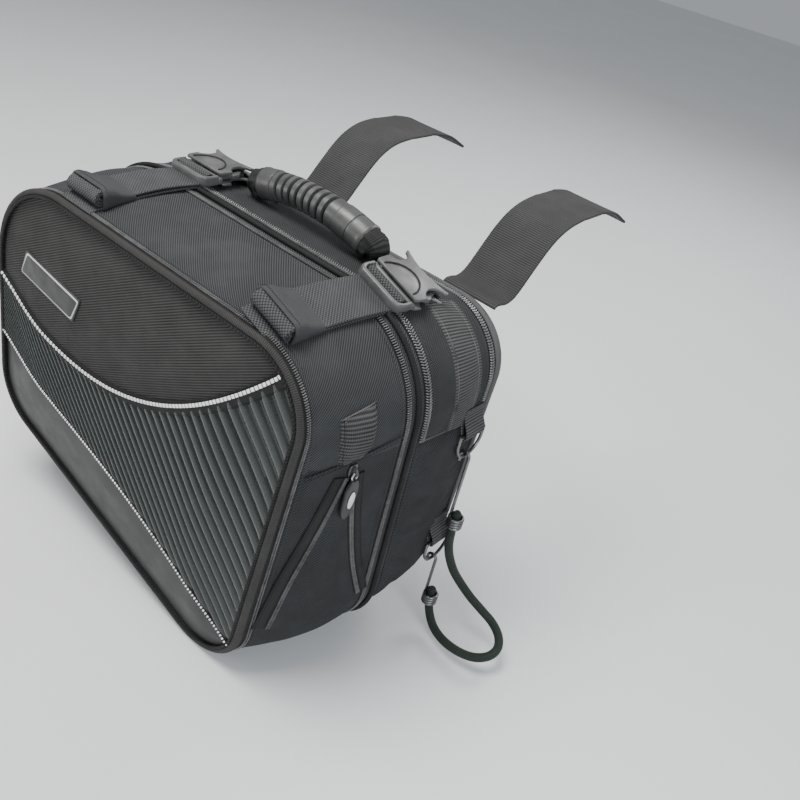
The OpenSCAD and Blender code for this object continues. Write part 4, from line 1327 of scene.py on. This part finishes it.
def make_strap_keepers():
    """An elastic hood round each strap. Its wide mouth holds the rolled tail."""
    piece = Piece("strap_keeper_sleeves", "elastic", "dark_thread")
    stops = mm([-191.5, 45, 0.6, 18.6], [-190.5, 46, 0.4, 19.4], [-187, 46, 0.4, 19.2],
               [-181, 45, 0.6, 16.8], [-174, 43.6, 0.8, 12.6], [-167, 42.4, 1.0, 9.8],
               [-162, 41.8, 1.2, 8.9], [-160.6, 41.2, 1.6, 8.4])
    for x in STRAP_X.values():
        rows = []
        for y, wide, low, high in stops:
            corners = [(-wide / 2, low), (wide / 2, low), (wide / 2, high * 0.75 + low * 0.25),
                       (wide * 0.42, high), (-wide * 0.42, high),
                       (-wide / 2, high * 0.75 + low * 0.25)]
            loop = rounded(np.array(corners), 5 * MM, 7)
            rows.append([on_strap(x, a, y, h) for a, h in loop])
        outer = np.array(rows)
        outer[..., 2] += 0.5 * MM * rumple(outer, 60, 41)
        middle = outer.mean(1, keepdims=True)
        inner = outer + unit(middle - outer) * 1.2 * MM
        piece.sweep(np.concatenate([outer, inner[::-1]], 0).transpose(1, 0, 2), True)
        edge = outer[1][np.argsort(outer[1][:, 0])]
        edge = edge[edge[:, 2] > edge[:, 2].mean()] + np.array([0, 2.4 * MM, 0.2 * MM])
        stitches(piece, edge, np.tile([0, 0, 1.0], (len(edge), 1)), 1, 2.2 * MM)
    finish_trim(piece, "outer_shell", "strap_keepers")


def make_anchor_webbing():
    piece = Piece("anchor_webbing_straps", "webbing", "thread")
    for x in STRAP_X.values():
        side, up = tilt_axes(x)
        route = spline(mm([-13.5, 2.2], [-20, 2.4], [-28, 3.2], [-36, 5.2], [-41, 7.4],
                          [-44.5, 9.6], [-46.2, 12.4], [-44.5, 14.6], [-41.5, 13.4],
                          [-36, 9.4], [-28, 6.0], [-21, 5.0]), 6)
        line = np.array([on_strap(x, 0, y, h) for y, h in route])
        piece.sweep(webbing(line, side, STRAP_W - 5 * MM, 1.9 * MM))
        for y in (-16 * MM, -24 * MM):
            seam = np.array([on_strap(x, a * MM, y, (3.5 if y > -0.02 else 6.5) * MM)
                             for a in range(-18, 19, 4)])
            stitches(piece, seam, np.tile(up, (len(seam), 1)), 1, 2.6 * MM)
    finish_trim(piece, "back_shell", "anchor_webbing")


def socket_outline(mouth):
    """The socket from above: straight mouth, scooped sides and a horn at each rear corner."""
    scoop = [(31 * MM - 11 * MM * math.cos(a), -54 * MM + 10.5 * MM * math.sin(a))
             for a in np.linspace(-1.45, 1.35, 19)]
    hollow = [((28 - 3.5 * k) * MM, (-40.6 - 5.0 * math.sin(k / 8 * math.pi / 2)) * MM)
              for k in range(1, 9)]
    right = [(27 * MM, mouth), (28.5 * MM, mouth + 2 * MM), *scoop, (30.5 * MM, -41.5 * MM),
             (29.5 * MM, -39.6 * MM), *hollow[:7]]
    return np.array(right + [(-x, y) for x, y in right[::-1]])


def crowned(points, height):
    """Lifts the middle of a moulding, seen along its length."""
    points[:, 2] += height * np.cos(np.clip(points[:, 0] / (29 * MM), -1, 1) * 1.3)
    return points


def make_buckles():
    for end, x in STRAP_X.items():
        socket = Piece(f"buckle_socket_{end}_moulding", "buckle_plastic", "slot_shade")
        for low, high, mouth in ((0, 2.6, -73), (9.9, 12.9, -77)):
            points, faces = pressed([socket_outline(mouth * MM)], (high - low) * MM, 0.9 * MM)
            points[:, 2] += (low + high) / 2 * MM
            socket.add(at_buckle(x, crowned(points, 1.3 * MM) if low else points), faces)
        for w, y0, y1 in ((24, -72.4, -50.5), (40, -44.6, -43.4)):
            points, faces = pressed([rounded(np.array(block(w, y0, y1)) * MM, 2 * MM)],
                                    10 * MM, 0.5 * MM)
            points[:, 2] += 6 * MM
            socket.add(at_buckle(x, points), faces)
        arc = np.array([(21 * MM * math.sin(a), (-76 + 19 * math.cos(a)) * MM, 12.9 * MM)
                        for a in np.linspace(-1.5, 1.5, 31)])
        # A thin near-black tube along the arc on the socket's top: painted shade.
        socket.sweep(tube(at_buckle(x, crowned(arc, 1.3 * MM)), 0.75 * MM, 8), slot=1)
        finish_trim(socket, "back_shell", f"buckle_socket_{end}", sharp=30)
        make_plug(end, x)


def make_plug(end, x):
    plug = Piece(f"buckle_plug_{end}_moulding", "buckle_plastic")
    yoke = [(-29, -78), (-29, -89), (-27, -93.5), (-22, -96), (22, -96), (27, -93.5),
            (29, -89), (29, -78), (24.8, -78), (24.8, -88.5), (22, -91.6), (-22, -91.6),
            (-24.8, -88.5), (-24.8, -78)]
    for outline, height, middle in ((yoke, 9, 6.6), (block(58, -79, -74), 6.4, 5.6)):
        points, faces = pressed([rounded(np.array(outline) * MM, 2 * MM)], height * MM, 1.8 * MM)
        points[:, 2] += middle * MM
        plug.add(at_buckle(x, points), faces)
    bar = np.array([(a * MM, -85 * MM, PLUG_HEIGHT) for a in range(-25, 26, 2)])
    plug.sweep(tube(at_buckle(x, bar), 2.2 * MM, 12))
    finish_trim(plug, f"plug_{end}", f"buckle_plug_{end}", sharp=30)
    for letter, s in (("a", -1), ("b", 1)):
        arm = Piece(f"squeeze_arm_{end}_{letter}", "buckle_plastic")
        outline = [(18.8, -72.8), (23.4, -72.8), (23.6, -63), (27.4, -60.5), (27.6, -55.5),
                   (24.5, -52.6), (22.4, -49), (19.6, -49), (18.8, -56)]
        outline = rounded(np.array(outline) * MM * np.array([s, 1]), 2 * MM)
        points, faces = pressed([outline], 4.4 * MM, 0.9 * MM)
        points[:, 2] += PLUG_HEIGHT
        arm.add(at_buckle(x, points), faces)
        finish_trim(arm, f"squeeze_{end}_{letter}", f"arm_{end}_{letter}", sharp=30)


# ---------------------------------------------------------------- over-seat straps
SEAT_ROUTE = mm([1.2, 143.2], [2.2, 144.9], [5.5, 146], [11, 145.5], [20, 144.5], [31, 149],
                [46, 165.5], [61, 182], [75, 193], [92, 200], [112, 203], [122, 203],
                [142, 203], [150, 203], [178, 198], [206, 185])
SEAT_STRAP_W = 55 * MM


def make_seat_straps():
    route = spline(SEAT_ROUTE, 6)
    for end, x in (("front", 165 * MM), ("rear", -35 * MM)):
        line = np.stack([np.full(len(route), x), route[:, 0], route[:, 1]], 1)
        piece = Piece(f"seat_strap_{end}_webbing", "seat_webbing", "thread")
        across = np.array([1.0, 0, 0])
        sections = webbing(line, across, SEAT_STRAP_W, 2.6 * MM)
        ripple = 0.7 * MM * rumple(sections, 20, 31)
        sections[..., 2] += ripple * smooth(0.02, 0.05, sections[..., 1])
        piece.sweep(sections)
        up = unit(np.cross(unit(np.gradient(line, axis=0)), across))
        for offset in (-24 * MM, 24 * MM):
            edge = line + across * offset + up * 1.2 * MM
            edge[:, 2] += 0.7 * MM * rumple(edge, 20, 31) * smooth(0.02, 0.05, edge[:, 1])
            stitches(piece, edge[8:], up[8:], 1, 3.0 * MM)
        obj = finish_trim(piece, "back_shell", f"seat_strap_{end}")


# ---------------------------------------------------------------- handle
HANDLE_X = 29 * MM
HANDLE_Y = -50 * MM
GRIP_MID_Z = 177 * MM
GRIP_R = 14 * MM
ARCH_R = (62 ** 2 + 8 ** 2) / 16 * MM
ARCH_A = math.asin(62 * MM / ARCH_R)
COLLAR_A = math.radians(4)


def arch(angles):
    angles = np.asarray(angles)
    return np.stack([HANDLE_X + ARCH_R * np.sin(angles), np.full(len(angles), HANDLE_Y),
                     GRIP_MID_Z - ARCH_R + ARCH_R * np.cos(angles)], 1)


GRIP_SLOTS = 8
SLOT_FROM, SLOT_TO = -0.93, 0.5      # where the slots lie along the grip, from -1 to 1


def make_handle():
    """A rubber sleeve with slots across its back and a smooth front end."""
    span = ARCH_A - COLLAR_A
    t = np.linspace(-1, 1, 321)
    place = (t - SLOT_FROM) / (SLOT_TO - SLOT_FROM) * GRIP_SLOTS
    within = (place > 0) & (place < GRIP_SLOTS)
    dips = within * (1 - smooth(0.15, 0.23, np.abs(place % 1 - 0.5)))
    step = 0.7 * MM * smooth(0.66, 0.68, t)
    sections = tube(arch(t * span), GRIP_R - 0.7 * MM + step, 44)
    centre = sections.mean(1, keepdims=True)
    rise = (sections - centre)[..., 2] / GRIP_R
    cut = 3.0 * MM * dips[:, None] * smooth(-0.75, -0.6, rise)
    sections = centre + (sections - centre) * (1 - cut / GRIP_R)[..., None]
    grip = Piece("handle_grip_rubber", "grip_rubber", "slot_shade")
    grip.sweep(sections)
    # The deepest faces of each slot take the near-black slot material: painted shade in the recesses.
    deep = (cut[:-1] > 2.2 * MM).ravel()
    grip.slots = [1 if k < len(deep) and deep[k] else 0 for k in range(len(grip.slots))]
    finish_trim(grip, "handle", "handle_grip")
    collars = Piece("handle_collar_rings", "grip_rubber")
    for s in (-1, 1):
        angles = s * np.linspace(ARCH_A - COLLAR_A + 0.001, ARCH_A, 13)
        radius = mm(13.6, 14, 14, 14, 14, 14, 14, 14, 14, 14.1, 14.4, 14.3, 13.4)
        collars.sweep(tube(arch(angles), radius, 36))
    finish_trim(collars, "handle", "handle_collars")
    make_handle_cloth()


def make_handle_cloth():
    """Bunched cloth that leaves each end of the grip and is sewn down to the bag's top."""
    cloth_piece = Piece("handle_cloth_ends", "handle_cloth")
    patches = Piece("handle_anchor_patches", "webbing", "thread")
    for s in (-1, 1):
        middle_z = arch([s * ARCH_A])[0][2]
        line = spline([(HANDLE_X + s * 59 * MM, HANDLE_Y, middle_z + 0.5 * MM),
                       (HANDLE_X + s * 65 * MM, HANDLE_Y, middle_z - 1.0 * MM),
                       (HANDLE_X + s * 71 * MM, HANDLE_Y, middle_z - 4.0 * MM),
                       (HANDLE_X + s * 71 * MM, HANDLE_Y, middle_z - 10 * MM),
                       (HANDLE_X + s * 68.5 * MM, HANDLE_Y, 153.6 * MM)], 10)
        k = np.linspace(0, 1, len(line))
        radius = np.interp(k, [0, 0.2, 0.4, 0.62, 0.8, 1], mm(12.4, 13.4, 12.6, 9.0, 6.4, 5.8))
        sections = tube(line, radius, 48)
        centre = sections.mean(1, keepdims=True)
        a = np.linspace(0, 2 * math.pi, 48, endpoint=False)[None, :]
        gathers = 1 + 0.05 * np.sin(7 * a + 5 * k[:, None]) + 0.03 * np.sin(13 * a + 1)
        gathers = gathers + 0.09 * rumple(sections, 90, 51)
        cloth_piece.sweep(centre + (sections - centre) * gathers[..., None])
        x = HANDLE_X + s * 68 * MM
        up = np.array([0.0, 0, 1])
        z = top_z(x, HANDLE_Y) + 1.6 * MM
        strap_line = np.array([(x, HANDLE_Y + d * MM, z) for d in range(-14, 15, 2)])
        patches.sweep(webbing(strap_line, np.array([1.0, 0, 0]), 22 * MM, 1.6 * MM))
        for d in (-11, 11):
            seam = np.array([(x + a * MM, HANDLE_Y + d * MM, z + 0.8 * MM)
                             for a in range(-9, 10, 3)])
            stitches(patches, seam, np.tile(up, (len(seam), 1)), 1, 2.6 * MM)
    obj = cloth_piece.make()
    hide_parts("handle_strap")
    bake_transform(obj)
    finish_trim(patches, "back_shell", "handle_anchors")


# ---------------------------------------------------------------- rings, hooks and cord
RING_X = 219.5 * MM
RING_Y = -23 * MM
RING_Z = {"upper": 45 * MM, "lower": -78 * MM}
CORD_ROUTE = mm([230, -23, -38], [230, -23, -50], [230, -23, -64], [231, -21, -80],
                [234, -17, -96], [240, -12, -112], [249, -6, -126], [261, -1, -138],
                [275, 3, -147], [289, 4, -153], [301, -1, -157], [308, -11, -160],
                [307, -22, -163], [299, -31, -166], [287, -35, -169], [273, -36, -171],
                [259, -34, -172], [246, -30, -170], [236, -25, -164], [231, -23, -154],
                [230, -23, -144], [230, -23, -136])
CORD_D = 8.5 * MM


def make_cord():
    route = spline(CORD_ROUTE, 10)
    radius = np.full(len(route), CORD_D / 2)
    ends = [0.55, 0.8, 0.94]
    radius[:3] *= ends
    radius[-3:] *= ends[::-1]
    piece = Piece("bungee_cord_sleeve", "cord_sleeve")
    piece.sweep(tube(route, radius, 14))
    obj = finish_trim(piece, "bungee", "bungee_cord")


def make_ring_tabs():
    """A folded webbing loop that holds the straight bar of each D-ring."""
    piece = Piece("ring_tab_loops", "side_webbing", "thread")
    for z in RING_Z.values():
        surface = front_at(RING_Y, z + 18 * MM)[0][0]
        bar_r = 2.9 * MM
        outer = [(surface + 2.9 * MM, z + 24 * MM), (surface + 3.0 * MM, z + 16 * MM),
                 (RING_X + 1.2 * MM, z + 6 * MM)]
        loop = [(RING_X + bar_r * math.cos(a), z + bar_r * math.sin(a))
                for a in np.linspace(0.35, -math.pi, 9)]
        inner = [(surface + 1.6 * MM, z + 9 * MM), (surface + 1.0 * MM, z + 16 * MM),
                 (surface + 1.0 * MM, z + 24 * MM)]
        route = spline(np.array(outer + loop + inner), 4)
        line = np.stack([route[:, 0], np.full(len(route), RING_Y), route[:, 1]], 1)
        piece.sweep(webbing(line, np.array([0, 1.0, 0]), 26 * MM, 1.7 * MM))
        seam = np.array([(surface + 3.9 * MM, RING_Y + a * MM, z + 12 * MM)
                         for a in range(-11, 12, 3)])
        stitches(piece, seam, np.tile([1.0, 0, 0], (len(seam), 1)), 1, 2.6 * MM)
    finish_trim(piece, "back_shell", "ring_tabs")


# ---------------------------------------------------------------- sliders and pulls
def rear_frame(y, z, lean=0.0):
    """Origin and axes on the rear side: up the coil, along the depth and out of the fabric."""
    line = np.vstack([corner_arc(y, 3, 0.0)[10:], between(corner_arc(y, 3, 0.0)[-1],
                      corner_arc(y, 0, 0.0)[0], 40), corner_arc(y, 0, 0.0)[:18]])
    x = np.interp(z, line[:, 1], line[:, 0])
    out = np.array([-math.cos(lean), 0, math.sin(lean)])
    up = np.array([math.sin(lean), 0, math.cos(lean)])
    return np.array([x, y, z]), np.array([up, [0, 1.0, 0], out])


def side_frame(y, z):
    point, normal = front_at(y, z)
    out = unit(normal)
    up = np.array([-out[2], 0, out[0]])
    return point, np.array([up, [0, 1.0, 0], out])


def placed(points, origin, axes):
    return origin + points @ axes


HINGE = 6.4 * MM


def slider_shape(piece, origin, axes):
    """A zip slider: one rounded wing and the bail that holds the pull."""
    wing = rounded(mm([-6.5, -2.6], [-3, -4.4], [5, -4.4], [6.6, -2.4], [6.6, 2.4], [5, 4.4],
                      [-3, 4.4], [-6.5, 2.6]), 1.5 * MM)
    points, faces = pressed([wing], 2.4 * MM, 0.8 * MM)
    points[:, 2] += 2.9 * MM
    piece.add(placed(points, origin, axes), faces)
    bail = spline(mm([-4.4, 0, 3.8], [-3.4, 0, 6.2], [-0.4, 0, 8.1], [2.6, 0, 6.6], [4.4, 0, 3.8]), 6)
    piece.sweep(placed(tube(bail, 1.1 * MM, 8).reshape(-1, 3), origin, axes).reshape(-1, 8, 3))


def make_slider(name, node, body, frame_of):
    piece = Piece(name, "zip_metal")
    slider_shape(piece, *frame_of)
    finish_trim(piece, body, node, sharp=35)


def make_pull(name, node, body, frame_of, length):
    """A metal eye and a cord tab that hang from the slider's bail."""
    origin, axes = frame_of
    piece = Piece(name, "zip_metal", "puller_rubber")
    outline = rounded(mm([1.8, -2.4], [1.8, 2.4], [-9, 3.2], [-11, 0], [-9, -3.2]), 1.6 * MM)
    hole = rounded(mm([0.6, -1.2], [0.6, 1.2], [-3.2, 1.2], [-3.2, -1.2]), 0.8 * MM)
    points, faces = pressed([outline, hole], 1.3 * MM, 0.3 * MM)
    points[:, 2] += HINGE
    piece.add(placed(points, origin, axes), faces)
    tab = rounded(np.array([[-7, -3.2], [-length, -3.9], [-length, 3.9], [-7, 3.2]]) * MM, 2.4 * MM)
    points, faces = pressed([tab], 2.6 * MM, 0.9 * MM)
    points[:, 2] += HINGE + 0.2 * MM
    piece.add(placed(points, origin, axes), faces, slot=1)
    finish_trim(piece, body, node, sharp=35)


def make_sliders():
    lean, lift = math.radians(25), 1.4 * MM
    front_place, front_axes = rear_frame(-198.6 * MM, 95 * MM, lean)
    rows = (("main_zip", "back_shell", "main_pull", rear_frame(-84.8 * MM, 62 * MM), 30),
            ("expansion", "expansion_slider", "expansion_pull",
             rear_frame(-105.5 * MM, 35 * MM), 30),
            ("front_zip", "outer_shell", "front_pull",
             (front_place + front_axes[2] * lift, front_axes), 24))
    for name, body, pull_body, frame_of, length in rows:
        make_slider(f"{name}_slider_casting", f"{name}_slider", body, frame_of)
        make_pull(f"{name}_pull_tab", f"{name}_pull", pull_body, frame_of, length)


# ---------------------------------------------------------------- side pocket details
LEFT_ZIP = mm([-157.5, 46], [-168, 0], [-181, -60], [-189, -120])
RIGHT_ZIP = mm([-151, 46], [-143, 0], [-130, -55], [-115, -100])
SIDE_SLIDER = mm(-154, 52)


def on_side(flat, out):
    """Points of [depth, height] laid on the front side, with their normals."""
    pairs = [front_at(y, z, out) for y, z in flat]
    return np.array([p for p, _ in pairs]), unit(np.array([n for _, n in pairs]))


TAB_TOP, TAB_FOOT = 104 * MM, 63 * MM


def make_side_tab():
    """A puffed web tab, wider at its top, sewn round its edge."""
    piece = Piece("side_tab_web", "tab_webbing", "thread", "dark_thread")
    rows, ups = [], []
    heights = np.linspace(TAB_TOP, TAB_FOOT, 30)
    sides = np.linspace(-1, 1, 25)
    for k, z in enumerate(heights):
        share = k / 29
        half = (17 - 6.0 * share ** 1.5) * MM
        centre = (-156 - 1.0 * share) * MM
        puff = 6.5 * MM * (1 - np.abs(sides) ** 4) * math.sin(math.pi * min(max(
            share, 0.03), 0.97)) ** 0.5 * (1 + 0.3 * sides)
        tilt = 2.5 * MM * sides
        rows.append([front_at(centre + half * a, z + d, 2.6 * MM + p)[0]
                     for a, p, d in zip(sides, puff, tilt)])
        ups.append([front_at(centre + half * a, z + d, 1.0 * MM)[0]
                    for a, d in zip(sides, tilt)])
    piece.slab(np.array(rows), np.array(ups), flat_axes=(2, 1))
    for side in (-1, 1):
        edge = np.array([((-156 - k / 29) * MM + side * (15.2 - 6 * (k / 29) ** 1.5) * MM,
                          z + side * 2.2 * MM) for k, z in enumerate(heights)])
        line, normals = on_side(edge, 4.4 * MM)
        stitches(piece, line, normals, 2, 2.6 * MM)
    for z, half in ((TAB_TOP - 2 * MM, 15), (TAB_FOOT + 2.4 * MM, 10)):
        edge = np.array([((-156 + a * half) * MM, z + 2.5 * MM * a)
                         for a in np.linspace(-1, 1, 14)])
        line, normals = on_side(edge, 3.9 * MM)
        stitches(piece, line, normals, 1, 2.6 * MM)
    finish_trim(piece, "outer_shell", "side_tab")


def side_ribbon(piece, route, low_width, high_width, out, slot):
    """A flat tape that follows a route on the front side."""
    route = spline(route, 10)
    along = unit(np.gradient(route, axis=0))
    side = np.stack([-along[:, 1], along[:, 0]], 1)
    columns = []
    for share, height in ((high_width, 0), (high_width, 1), (0.5 * (high_width + low_width), 1.15),
                          (low_width, 1), (low_width, 0)):
        columns.append(on_side(route + side * share, out + height * 1.2 * MM)[0])
    piece.sweep(np.stack(columns, 1), slot=slot)


def make_side_zips():
    """Two fine zips that spread from the slider, each with a wide smooth tape beside it."""
    piece = Piece("side_zip_coils", "zip_tape", "zip_coil", "binding", "dark_thread")
    points, faces = pill(*mm(2.0, 0.9, 1.6))
    for route, inner, wide in ((LEFT_ZIP, 1, 11.5), (RIGHT_ZIP, -1, 9.5)):
        side_ribbon(piece, route, -2.5 * MM, 2.5 * MM, 1.6 * MM, 2)
        low, high = sorted((-2.6 * MM * inner, -wide * MM * inner))
        side_ribbon(piece, route, low, high, 2.2 * MM, 0)
        dense = spline(route, 12)
        along = unit(np.gradient(dense, axis=0))
        across = np.stack([-along[:, 1], along[:, 0]], 1)
        for offset, slant in ((-1.0, 10), (1.0, -10)):
            line, normals = on_side(dense + across * offset * MM, 3.5 * MM)
            origins, axes = stations(line, normals, 1.5 * MM)
            piece.scatter(turned(points, 90 + slant), faces, origins, axes, 1)
        for offset, slot in ((3.4, 3), (wide - 1.4, 3)):
            line, normals = on_side(dense - across * inner * offset * MM, 3.5 * MM)
            stitches(piece, line, normals, slot, 2.6 * MM)
    finish_trim(piece, "outer_shell", "side_zips")


def make_side_bellows():
    piece = Piece("side_bellows_cloth", "boot_twill")
    rows, backs = [], []
    for z in np.linspace(36 * MM, -98 * MM, 50):
        y0 = np.interp(-z, -LEFT_ZIP[:, 1], LEFT_ZIP[:, 0]) + 1.8 * MM
        y1 = np.interp(-z, -RIGHT_ZIP[:, 1], RIGHT_ZIP[:, 0]) - 1.8 * MM
        share = np.linspace(0, 1, 22)
        ys = y0 + (y1 - y0) * share
        wide = abs(y1 - y0)
        folds = 0.05 * wide * np.sin(math.pi * share) * (0.6 + 0.4 * np.cos(6 * math.pi * share))
        rows.append([front_at(y, z, 1.9 * MM + f)[0] for y, f in zip(ys, folds)])
        backs.append([front_at(y, z, 1.0 * MM)[0] for y in ys])
    piece.slab(np.array(rows), np.array(backs), flat_axes=(2, 1))
    finish_trim(piece, "outer_shell", "side_bellows")


def make_side_puller():
    origin, axes = side_frame(*SIDE_SLIDER)
    make_slider("side_slider_casting", "side_slider", "outer_shell", (origin, axes))
    piece = Piece("side_puller_rubber", "puller_rubber", "bright_metal")
    ring_line = np.array([((-3.4 + 3.6 * math.cos(a)) * MM, 3.0 * math.sin(a) * MM, HINGE)
                          for a in np.linspace(0, 2 * math.pi, 24, endpoint=False)])
    sections = tube(np.vstack([ring_line, ring_line[:1]]), 0.8 * MM, 8, 1.0, (0, 0, 1))[:-1]
    piece.sweep(placed(sections.reshape(-1, 3), origin, axes).reshape(-1, 8, 3), True, 1)
    body = rounded(mm([-6, -3], [-6, 3], [-14, 6.8], [-36, 6.8], [-46, 3.5], [-46, -3.5],
                      [-36, -6.8], [-14, -6.8]), 3 * MM)
    points, faces = pressed([body], 3.6 * MM, 1.2 * MM)
    points[:, 2] += HINGE + 0.5 * MM
    piece.add(placed(points, origin, axes), faces)
    for k in range(7):
        bar = mm([-16.5 - 3 * k, 4.2, 7.2], [-16.5 - 3 * k, 6.9, 7.2])
        bar = bar[0] + (bar[1] - bar[0]) * np.linspace(0, 1, 5)[:, None]
        sections = tube(bar, 0.9 * MM, 8, 1.0, (0, 0, 1))
        piece.sweep(placed(sections.reshape(-1, 3), origin, axes).reshape(-1, 8, 3))
    finish_trim(piece, "side_pull", "side_puller")
    make_puller_inset(origin, axes)


def make_puller_inset(origin, axes):
    """A blank pale oval with a dark rim."""
    piece = Piece("puller_inset_oval", "inset_plastic", "puller_rubber")
    for grow, high, slot in ((0.9, 9.2, 1), (0.0, 9.6, 0)):
        oval = np.array([((-26 + (8.5 + grow) * math.cos(a)) * MM, (3.4 + grow) * math.sin(a) * MM)
                         for a in np.linspace(0, 2 * math.pi, 28, endpoint=False)])
        points, faces = pressed([oval], 1.2 * MM, 0.4 * MM)
        points[:, 2] += (high - 0.6) * MM
        piece.add(placed(points, origin, axes), faces, slot=slot)
    finish_trim(piece, "side_pull", "puller_inset")


# ---------------------------------------------------------------- assembly
def dress_cad_nodes():
    for node in ("d_ring_upper", "d_ring_lower", "bungee_hooks"):
        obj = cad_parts[node]
        obj.data.materials.clear()
        obj.data.materials.append(looks["steel_wire"])


make_camera()
looks = make_materials()
make_cord()
make_studio()
make_back_panel()
make_rear_gusset()
make_lower_boot()
make_mid_band()
make_outer_gusset()
make_zips()
make_cords_round_the_bag()
make_side_webbing()
make_inside()
make_bellows()
make_hinge_fabric()
front_face = Face()
make_front_upper(front_face)
make_front_lower(front_face)
make_front_ribbed(front_face)
make_reflective_lines(front_face)
make_badge(front_face)
make_compression_straps()
make_strap_keepers()
make_anchor_webbing()
make_buckles()
make_seat_straps()
make_handle()
make_ring_tabs()
make_sliders()
make_side_tab()
make_side_zips()
make_side_bellows()
make_side_puller()
dress_cad_nodes()
